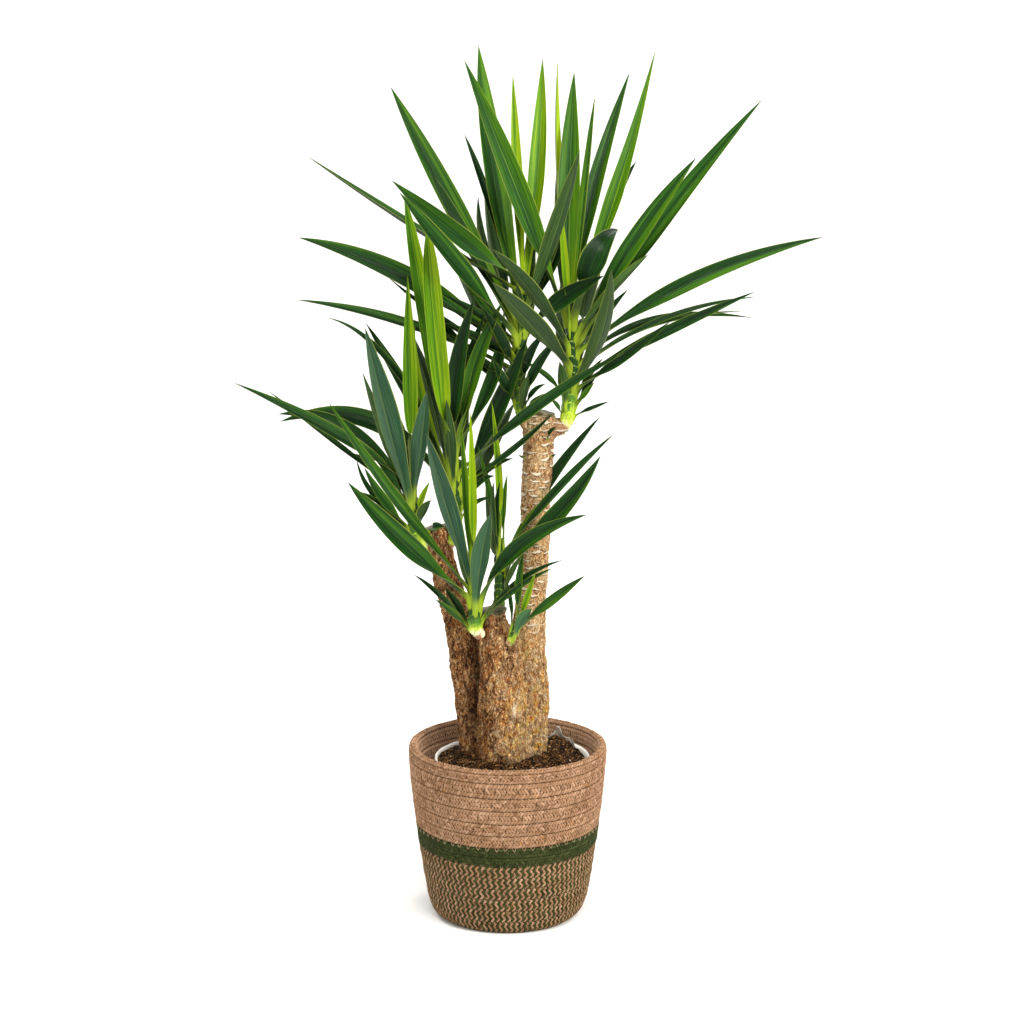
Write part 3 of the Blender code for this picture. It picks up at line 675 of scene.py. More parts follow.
# leaf scars: ridges round the tall cane, one to each step in height, of uneven strength round it
ringRow = height / bark["scarStep"] + 0.30 * softNoise(onRings(2, around, height * 0.4), 71)
line = np.floor(ringRow)
block = spots(line.astype(int), np.floor(around / turn * bark["ridgesRound"]).astype(int), 0)
ridge = np.exp(-((ringRow - line - 0.5) / 0.16) ** 2) * (0.4 + 0.6 * scatter(block, 5))
wrinkles = rosy * np.sin(turn * (x - 0.5 * height) / 0.45)
raised = (-bark["plate"] * crack * (1 - 0.75 * upper) - bark["flake"] * flake * (1 - 0.3 * upper)
          + bark["grain"] * grain * (1 - 0.3 * upper) + bark["step"] * (owner - 0.5) * (1 - 0.6 * upper)
          + bark["scar"] * ridge * upper - bark["crevice"] * crevice + bark["wrinkle"] * wrinkles)
points = points + normals * raised[:, None]
trunkParts = newGather()
gather(trunkParts, points, quads, uv=spots(around / turn * bark["scarsRound"], points[:, 2]),
       crack=crack * (1 - 0.6 * upper), flake=flake, tint=0.6 * owner + 0.4 * fineOwner, upper=upper,
       crevice=crevice, rosy=rosy)


def scarGroup():
    # short pale crescents in staggered rows round a cane: the vector is cells round it and centimetres up it
    tree, given, out = newGroup("leafScars", {"Place": "NodeSocketVector"}, ("Scar", "Below"))
    x, y, _ = separated(tree, given["Place"])
    warp = noise(tree, given["Place"], 1.3)
    row = maths(tree, "ADD", maths(tree, "DIVIDE", y, bark["scarStep"]), times(tree, warp, 0.8))
    line = maths(tree, "FLOOR", row)
    shift = node(tree, "ShaderNodeTexWhiteNoise", {"W": line}, noise_dimensions="1D").outputs["Value"]
    cell = maths(tree, "ADD", x, times(tree, shift, 3.0))
    chance = cellChance(tree, combined(tree, maths(tree, "FLOOR", cell), line))
    side = scaled(tree, maths(tree, "FRACT", cell), 2.0, -1.0)
    bow = times(tree, side, side)
    level = scaled(tree, bow, 0.14, scaled(tree, chance, 0.34, 0.30))
    away = maths(tree, "SUBTRACT", maths(tree, "FRACT", row), level)
    thick = maths(tree, "SUBTRACT", 1.0, maths(tree, "DIVIDE", bow, 0.72))
    thick = times(tree, thick, scaled(tree, chance, 0.15, 0.05))
    thick = times(tree, thick, scaled(tree, noise(tree, given["Place"], 5.0, 2.0, 0.6), 2.2, -0.1))
    seen = maths(tree, "GREATER_THAN", chance, 0.22)
    lower = maths(tree, "ADD", away, 0.13)
    for label, shifted, low, high in (("Scar", away, -0.01, 0.035), ("Below", lower, -0.02, 0.06)):
        within = maths(tree, "SUBTRACT", thick, maths(tree, "ABSOLUTE", shifted))
        tree.links.new(times(tree, ease(tree, within, low, high), seen), out[label])


def barkMaterial():
    material, tree, inputs = newMaterial("barkFinish", 0.10)
    crack, flake, tint, upper, crevice, rosy = attributes(tree, "crack", "flake", "tint", "upper", "crevice", "rosy")
    spot = node(tree, "ShaderNodeVectorMath", {0: objectPlace(tree), "Scale": 1 / cm}, operation="SCALE").outputs[0]
    x, _, height = separated(tree, spot)
    bend = node(tree, "ShaderNodeTexNoise", {"Vector": spot, "Scale": 1.1, "Detail": 2.0}).outputs["Color"]
    moved = vectorMaths(tree, "MULTIPLY_ADD", bend, (0.9, 0.9, 0.9), spot)["Vector"]

    def cells(scale, label, **settings):
        return node(tree, "ShaderNodeTexVoronoi", {"Vector": stretched(tree, moved, scale), "Scale": 1.0},
                    **settings).outputs[label]

    tone = node(tree, "ShaderNodeSeparateColor", {0: cells((4.8, 4.8, 2.1), "Color")}).outputs[0]
    lines = cells((4.8, 4.8, 2.1), "Distance", feature="DISTANCE_TO_EDGE")
    wide = cells((1.5, 1.5, 0.95), "Distance", feature="DISTANCE_TO_EDGE")
    fibre = noise(tree, stretched(tree, moved, (9.0, 9.0, 1.8)), 1.0, 4.0, 0.7)
    ribs = noise(tree, stretched(tree, moved, (2.6, 2.6, 0.4)), 1.0, 3.0, 0.6)
    dust, broad = noise(tree, moved, 12.0, 4.0, 0.75), noise(tree, spot, 0.45, 3.0, 0.6)
    # painted light: below about 42 cm the bark grows lighter towards its right side, as if lit from the right
    paintedLightRight = times(tree, ease(tree, x, -4.0, 4.5), ease(tree, height, 42.0, 26.0))
    share = scaled(tree, tone, 0.42, times(tree, tint, 0.16))
    share = swing(tree, fibre, 2.1, share)
    share = swing(tree, dust, scaled(tree, upper, -0.5, 1.2), share)
    share = swing(tree, broad, 0.8, share)
    share = maths(tree, "ADD", share, times(tree, upper, 0.18))
    share = scaled(tree, paintedLightRight, 0.26, share)
    # painted shade: the left side, from x 1 to x -5, is darker
    share = scaled(tree, ease(tree, x, 1.0, -5.0), -0.10, share)
    share = swing(tree, ribs, scaled(tree, upper, -0.5, 1.1), share)
    share = maths(tree, "ADD", share, 0.27, clamp=True)
    colour = ramp(tree, share, bark, crack=0.0, brown=0.26, tan=0.50, pale=0.76, bright=0.96)
    # gold laid over in random patches, stronger on the painted-light right side
    goldTintAndPaintedLight = scaled(tree, upper, -0.15, scaled(tree, paintedLightRight, 0.35, 0.40))
    goldTintAndPaintedLight = times(tree, ease(tree, noise(tree, spot, 0.9, 2.0, 0.6), 0.44, 0.66), goldTintAndPaintedLight)
    colour = blend(tree, goldTintAndPaintedLight, colour, bark["gold"], "OVERLAY")
    colour = coats(tree, colour, (bark["red"], noise(tree, moved, 1.7, 3.0, 0.6), 0.56, 0.72, 0.45))
    dark = maths(tree, "MAXIMUM", times(tree, crack, 0.55), times(tree, flake, 0.35))
    thin = times(tree, ease(tree, lines, 0.13, 0.01), scaled(tree, upper, -0.45, 0.78))
    split = times(tree, ease(tree, wide, 0.075, 0.0), times(tree, upper, 0.9))
    colour = blend(tree, maths(tree, "MAXIMUM", maths(tree, "MAXIMUM", dark, thin), split), colour, bark["crack"])
    # the pale gash low on the tall cane, at x 1.3 and height 30
    gash = vectorMaths(tree, "LENGTH", stretched(tree, moved, (2.3, 0.5, 0.75), (-3.1, 2.4, -22.5)))["Value"]
    colour = coats(tree, colour, (bark["white"], gash, 1.1, 0.4, 0.6))
    colour = stain(tree, colour, bark["rosy"], rosy, 0.6)
    # painted shade: the cleft between the left and short canes goes almost black
    colour = stain(tree, colour, bark["crack"], crevice, 0.82)
    scars = useGroup(tree, "leafScars", {"Place": surfacePlace(tree)})
    scar, below = [times(tree, scars[label], ease(tree, upper, 0.60, 1.0)) for label in ("Scar", "Below")]
    # painted shade: a dark band just under each leaf scar
    colour = stain(tree, colour, bark["crack"], below, 0.75)
    colour = stain(tree, colour, bark["white"], scar, 0.92)
    # the bark goes nearly black towards the bottom, below 24.3 cm
    colour = coats(tree, colour, (bark["darkFoot"], scaled(tree, fibre, 2.0, height), 24.3, 22.9, 0.75))
    relief = maths(tree, "ADD", times(tree, fibre, 1.2), times(tree, dust, 0.6))
    relief = maths(tree, "ADD", relief, times(tree, ease(tree, lines, 0.0, 0.16), 0.7))
    relief = maths(tree, "ADD", relief, times(tree, scar, 0.8))
    finish(tree, inputs, colour, scaled(tree, fibre, 0.2, 0.70), relief, 0.0016, 0.9)
    return material


scarGroup()
barkPiece = makePiece("bark", trunkParts, barkMaterial(), uvWrap=bark["scarsRound"])
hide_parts("trunk")
print("trunk:", len(points), "points")

# the nursery pot: a thin tapered wall with a rolled lip, turned about its own middle
pot = {"x": 0.6, "foot": 1.03, "top": 21.6, "base": 8.2, "rim": 10.45, "wall": 0.14, "floor": 0.16, "lip": 0.25,
       "sides": 192, "grey": (0.62, 0.60, 0.55), "pale": (0.86, 0.84, 0.78), "smear": (0.30, 0.24, 0.17),
       "dirt": (0.05, 0.03, 0.018)}


def potMaterial():
    material, tree, inputs = newMaterial("potPlastic", 0.45)
    spot = objectPlace(tree)
    speck, smear = noise(tree, spot, 420.0, 3.0, 0.7), noise(tree, spot, 45.0, 4.0, 0.65)
    fine = noise(tree, spot, 900.0)
    colour = blend(tree, ease(tree, smear, 0.40, 0.70), pot["grey"], pot["pale"])
    colour = coats(tree, colour, (pot["dirt"], speck, 0.60, 0.68, 0.75), (pot["smear"], smear, 0.56, 0.75, 0.35))
    finish(tree, inputs, colour, scaled(tree, smear, 0.3, 0.35), maths(tree, "ADD", fine, smear), 0.0004, 0.4)
    return material


def wallAt(heights, inset=0.0):  # radius and height up the pot's tapered wall
    lean = (pot["rim"] - pot["base"]) / (pot["top"] - pot["foot"])
    return [(pot["base"] - inset + lean * (h - pot["foot"]), h) for h in heights]


# radius and height: across the foot, up the outside, round the lip, down the inside and back across
profile = [(pot["base"] - 0.3, pot["foot"]), (pot["base"], pot["foot"] + 0.3)]
profile += wallAt(np.linspace(3, pot["top"] - 0.6, 7))
profile += [(pot["rim"] - 0.02 + pot["lip"] * math.sin(t) * 0.9, pot["top"] - 0.10 - pot["lip"] * math.cos(t))
            for t in np.linspace(-0.2, math.pi, 9)]
profile += wallAt(np.linspace(pot["top"] - 0.25, 2.0, 7), pot["wall"])
profile += [(pot["base"] - 0.5, pot["foot"] + pot["floor"])]
radius, height = np.array(profile).T[..., None]
angle = roundAngles(pot["sides"])
waver = 0.05 * np.sin(3 * angle + 1.0) + 0.03 * np.sin(7 * angle)
rings = onRings(radius + waver, angle, height + 0.04 * np.sin(2 * angle + 0.6) * (height > 20), pot["x"])
potParts = newGather()
gather(potParts, *capped(rings, (pot["x"], 0, pot["foot"]), (pot["x"], 0, pot["foot"] + pot["floor"])))

# the torn corner of film that stands up at the back: a sheet on the lip's circle, as tall as its torn edge
film = {"from": 61.0, "to": 27.0, "across": 44, "up": 18, "thick": 0.025, "inset": 0.28, "sunk": 0.35,
        "at": (0.0, 0.16, 0.34, 0.5, 0.66, 0.85, 1.0), "tall": (0.1, 0.8, 2.3, 1.1, 1.0, 0.6, 0.1)}
t = np.linspace(0, 1, film["across"])
up = np.linspace(0, 1, film["up"])[:, None]
tall = np.interp(t, film["at"], film["tall"]) + 0.12 * softNoise(spots(t * 14, 0.3, 0.7), 81)
angle = np.radians(film["from"] + (film["to"] - film["from"]) * t)
crumple = 0.32 * softNoise(spots(t * 7, up * 2.5, 0.5), 83) * up
crumple = crumple + 0.10 * softNoise(spots(t * 19, up * 7, 0.2), 84) * up
away = pot["rim"] - film["inset"] + crumple - 0.25 * up ** 2
sheet = onRings(away, angle, pot["top"] - film["sunk"] + (np.maximum(tall, 0.05) + film["sunk"]) * up, pot["x"])
back = sheet + onRings(film["thick"], angle, 0.0)
both = np.concatenate([sheet, back[::-1]])
rows, columns = both.shape[:2]
# up the front, over and down the back, joined again at the foot; then a strip closes each side
faces = [gridQuads(rows + 1, columns, closed=False) % (rows * columns)]
for column in (0, columns - 1):
    low = np.arange(film["up"] - 1) * columns + column
    high = low + columns
    mirrored = (rows - 1) * columns + 2 * column
    strip = np.stack([low, high, mirrored - high, mirrored - low], -1)
    faces.append(strip[:, ::-1] if column else strip)
gather(potParts, both, np.concatenate(faces))
potPiece = makePiece("pot_wall", potParts, potMaterial())
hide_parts("nursery_pot")

# the potting soil: a lumpy surface on a polar grid, lifted towards the canes and along the film
soil = {"rings": 84, "sides": 300, "edge": 21.15, "foot": 18.5, "mound": 1.15, "radius": 10.2, "chips": 620,
        "black": (0.0035, 0.0018, 0.001), "brown": (0.050, 0.024, 0.010), "chip": (0.42, 0.19, 0.06),
        "straw": (0.62, 0.40, 0.16), "perlite": (0.78, 0.74, 0.66)}


def soilHeight(x, y):
    # the level, a mound round the three canes, a heap against the film, and plates and noise for clods and crumbs
    away = [np.hypot(x - middle[0], y - middle[1]) - girth for middle, girth in (
        ((2.4, 1.5), 3.2), ((-0.5, -1.6), 3.8), ((-4.4, 0.6), 1.9))]
    lift = soil["mound"] * (1 - smooth(0.0, 4.5, np.minimum(away[0], np.minimum(away[1], away[2]))))
    lift = lift + 1.35 * np.exp(-((x - 7.0) ** 2 + (y - 6.4) ** 2) / 3.4)
    spot = spots(x, y, 0.0)
    lump, own = plates(spot * 1.25, 91)
    fineLump, fineOwn = plates(spot * 2.9, 93)
    return (soil["edge"] + lift + 0.20 * softNoise(spot * 0.6, 90) + 0.50 * (own - 0.4) * smooth(0.0, 0.45, lump)
            + 0.26 * (fineOwn - 0.3) * smooth(0.0, 0.5, fineLump) + 0.12 * roughNoise(spot * 4.0, 95, 2))


radius = soil["radius"] * np.sqrt(np.linspace(0.004, 1, soil["rings"]))[:, None]
angle = roundAngles(soil["sides"])
surface = onRings(radius, angle, 0.0, pot["x"])
surface[..., 2] = soilHeight(surface[..., 0], surface[..., 1])
surface[-1, :, 2] -= 0.25
foot = onRings(np.array([[soil["radius"] - 0.3], [2.0]]), angle, soil["foot"], pot["x"])
points, quads, triangles = capped(np.concatenate([surface, foot]), (pot["x"], 0, surface[0, :, 2].mean()),
                                  (pot["x"], 0, soil["foot"]), turned=True)
soilParts = newGather()
gather(soilParts, points, quads, triangles, tone=0.25)
# chips, straws and grains of perlite: stretched twenty-sided lumps, tipped and turned by chance
chance = np.random.default_rng(7)
gold = (1 + 5 ** 0.5) / 2
lump = unit(np.array([
    (-1, gold, 0), (1, gold, 0), (-1, -gold, 0), (1, -gold, 0), (0, -1, gold), (0, 1, gold),
    (0, -1, -gold), (0, 1, -gold), (gold, 0, -1), (gold, 0, 1), (-gold, 0, -1), (-gold, 0, 1)], float))
lumpFaces = np.array([
    (0, 11, 5), (0, 5, 1), (0, 1, 7), (0, 7, 10), (0, 10, 11), (1, 5, 9), (5, 11, 4), (11, 10, 2), (10, 7, 6),
    (7, 1, 8), (3, 9, 4), (3, 4, 2), (3, 2, 6), (3, 6, 8), (3, 8, 9), (4, 9, 5), (2, 4, 11), (6, 2, 10), (8, 6, 7),
    (9, 8, 1)])
for _ in range(soil["chips"]):
    far, spin = 10.0 * math.sqrt(chance.uniform(0.02, 0.99)), chance.uniform(0, turn)
    x, y = pot["x"] + far * math.cos(spin), far * math.sin(spin)
    kind = chance.uniform()
    size = chance.uniform(0.10, 0.24) * (1.35 if kind < 0.3 else 0.8)
    shape = lump * chance.uniform(0.75, 1.2, (12, 1))
    shape = shape * np.array([size * chance.uniform(*ends) for ends in ((1.0, 2.4), (0.5, 1.0), (0.35, 0.7))])
    lean, yaw = chance.uniform(-0.6, 0.6), chance.uniform(0, turn)
    shape = shape @ np.array([[math.cos(lean), 0, math.sin(lean)], [0, 1, 0], [-math.sin(lean), 0, math.cos(lean)]])
    shape = shape @ np.array([[math.cos(yaw), math.sin(yaw), 0], [-math.sin(yaw), math.cos(yaw), 0], [0, 0, 1]])
    if kind < 0.50:  # crumbs of bark
        tone = 0.28 + 0.2 * chance.uniform()
    elif kind < 0.86:  # chips of wood
        tone = 0.6 + 0.15 * chance.uniform()
    else:  # straw and a few grains of perlite
        tone = 0.84 if kind < 0.96 else 1.0
    base = float(soilHeight(np.array(x), np.array(y)))
    gather(soilParts, shape + np.array([x, y, base + size * 0.12]), np.zeros((0, 4), int), lumpFaces, tone=tone)


def soilMaterial():
    material, tree, inputs = newMaterial("soilCrumbs", 0.05)
    spot = objectPlace(tree)
    crumb, clod = noise(tree, spot, 330.0, 4.0, 0.75), noise(tree, spot, 90.0, 3.0, 0.65)
    thread = noise(tree, stretched(tree, spot, (260.0, 1100.0, 500.0)), 1.0, 3.0, 0.6)
    share = swing(tree, clod, 0.8, *attributes(tree, "tone"))
    colour = ramp(tree, share, soil, black=0.0, brown=0.32, chip=0.62, straw=0.82, perlite=1.0)
    # painted shade: the gaps between crumbs and clods go nearly black
    gap = maths(tree, "MAXIMUM", ease(tree, crumb, 0.55, 0.47), ease(tree, clod, 0.50, 0.42))
    colour = stain(tree, colour, soil["black"], gap, 0.97)
    colour = coats(tree, colour, (soil["chip"], crumb, 0.57, 0.63, 0.80), (soil["straw"], thread, 0.63, 0.70, 0.65))
    finish(tree, inputs, colour, 0.85, scaled(tree, clod, 0.8, crumb), 0.0018, 1.0)
    return material


soilPiece = makePiece("potting_soil", soilParts, soilMaterial())
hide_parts("soil")
print("soil:", soilParts["count"], "points")

# the wax that seals each sawn top: a thin skin over the end with an uneven skirt; its cane, height, radius and seed
wax = {"skirt": 0.30, "thick": 0.10, "sides": 96, "green": (0.046, 0.043, 0.013), "light": (0.20, 0.17, 0.085),
       "speck": (0.03, 0.022, 0.014), "edge": (0.10, 0.07, 0.04),
       "caps": {"tall_wax": ("tall", 69.0, 1.75, 1), "left_wax": ("left", 53.3, 1.75, 2),
                "short_wax": ("short", 42.7, 1.85, 3)}}


def waxMaterial():
    material, tree, inputs = newMaterial("waxSkin", 0.22)
    inputs["Subsurface Weight"].default_value = 0.05
    spot = objectPlace(tree)
    cloud, speck = noise(tree, spot, 130.0, 4.0, 0.65), noise(tree, spot, 700.0, 3.0, 0.7)
    colour = blend(tree, ease(tree, cloud, 0.38, 0.68), wax["green"], wax["light"])
    colour = coats(tree, colour, (wax["speck"], speck, 0.58, 0.66, 0.5),
                   (wax["edge"], *attributes(tree, "skirt"), 0.2, 1.0, 0.35))
    finish(tree, inputs, colour, scaled(tree, cloud, 0.3, 0.38), maths(tree, "ADD", cloud, speck), 0.0007, 0.7)
    return material


waxFinish = waxMaterial()
# rings out over the top, down the skirt and back inside: how far out, how far down and how far off the cane each is
share = np.concatenate([np.linspace(0.12, 1, 12), np.ones(7), np.ones(2), np.linspace(0.95, 0.12, 5)])[:, None]
down = np.concatenate([np.zeros(12), np.linspace(0.12, 1, 7), [1.0, 0.6], np.full(5, 0.15)])[:, None]
skin = np.concatenate([np.full(12, 1.0), np.linspace(1, 0.35, 7), [-0.1, -0.3], np.full(5, -0.4)])[:, None]
spin = roundAngles(wax["sides"])
for label, (name, top, girth, seed) in wax["caps"].items():
    middle, _ = caneAxis(name, np.array([top - 1.0, top]))
    axis = unit(np.append(middle[1] - middle[0], 1.0))
    across = unit(np.cross(axis, np.array([0.0, 1.0, 0.0])))
    drip = wax["skirt"] * (0.75 + 0.5 * softNoise(onRings(2.2, spin, seed), 101))
    radius = share * girth * (1 + 0.035 * softNoise(onRings(1.6, spin, seed + 4), 102))
    radius = radius + wax["thick"] * skin * (share > 0.97)
    rise = 0.16 * (1 - share ** 4) - down * drip + wax["thick"] * np.maximum(skin, -0.2)
    rise = rise + 0.05 * softNoise(onRings(share * 3, spin, seed + down), 103)
    circle = np.cos(spin)[:, None] * across + np.sin(spin)[:, None] * np.cross(axis, across)
    rings = np.append(middle[1], top) + radius[..., None] * circle + rise[..., None] * axis
    points, quads, triangles = capped(rings, rings[0].mean(axis=0), rings[-1].mean(axis=0), turned=True)
    waxParts = newGather()
    gather(waxParts, points, quads, triangles, skirt=np.append(np.repeat(down[:, 0], wax["sides"]), [0, 0]))
    waxPiece = makePiece(label, waxParts, waxFinish)
    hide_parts(label + "_seal")
print("wax caps:", len(wax["caps"]))

# the shoots: x, y, height and radius of points up each stem
shoots = {
    "tall_right": ((7.6, 2.3, 67.2, 0.9), (8.1, 2.2, 68.6, 1.0), (8.3, 2.1, 70.5, 1.0), (8.6, 2.0, 74, 0.9),
                   (8.5, 2.0, 78, 0.75), (8.3, 2.0, 83, 0.5), (8.3, 2.0, 86, 0.25)),
    "tall_left": ((2.5, 2.0, 67.6, 0.6), (1.8, 1.8, 69, 0.75), (1.6, 1.5, 71, 0.8), (1.6, 1.2, 74, 0.75),
                  (1.7, 1.0, 79, 0.65), (2.1, 0.9, 84, 0.45), (2.4, 0.9, 87.5, 0.25)),
    "left_outer": ((-11.0, 1.8, 50.2, 0.7), (-12.45, 1.5, 52.2, 0.85), (-12.75, 1.3, 55, 0.8), (-12.8, 1.2, 59, 0.6),
                   (-12.7, 1.2, 62, 0.3)),
    "left_inner": ((-8.1, 2.2, 50.6, 0.7), (-7.05, 2.0, 52.8, 0.8), (-6.9, 1.8, 57, 0.75), (-7.2, 1.6, 61, 0.55),
                   (-7.4, 1.5, 64.5, 0.3)),
    "front_left": ((-3.5, -3.0, 39.5, 0.7), (-4.3, -3.3, 40.5, 0.9), (-4.5, -3.5, 42, 0.9), (-4.4, -3.5, 44.5, 0.7),
                   (-4.4, -3.5, 47.5, 0.3)),
    "front_rear": ((-1.2, 0.6, 39.6, 0.7), (-1.2, 1.3, 41.5, 0.8), (-1.1, 1.4, 45, 0.75), (-1.0, 1.3, 49, 0.55),
                   (-0.9, 1.2, 52, 0.3)),
    "front_right": ((0.1, -3.5, 38.5, 0.42), (0.9, -4.2, 40.5, 0.45), (1.3, -4.4, 42.3, 0.2)),
}

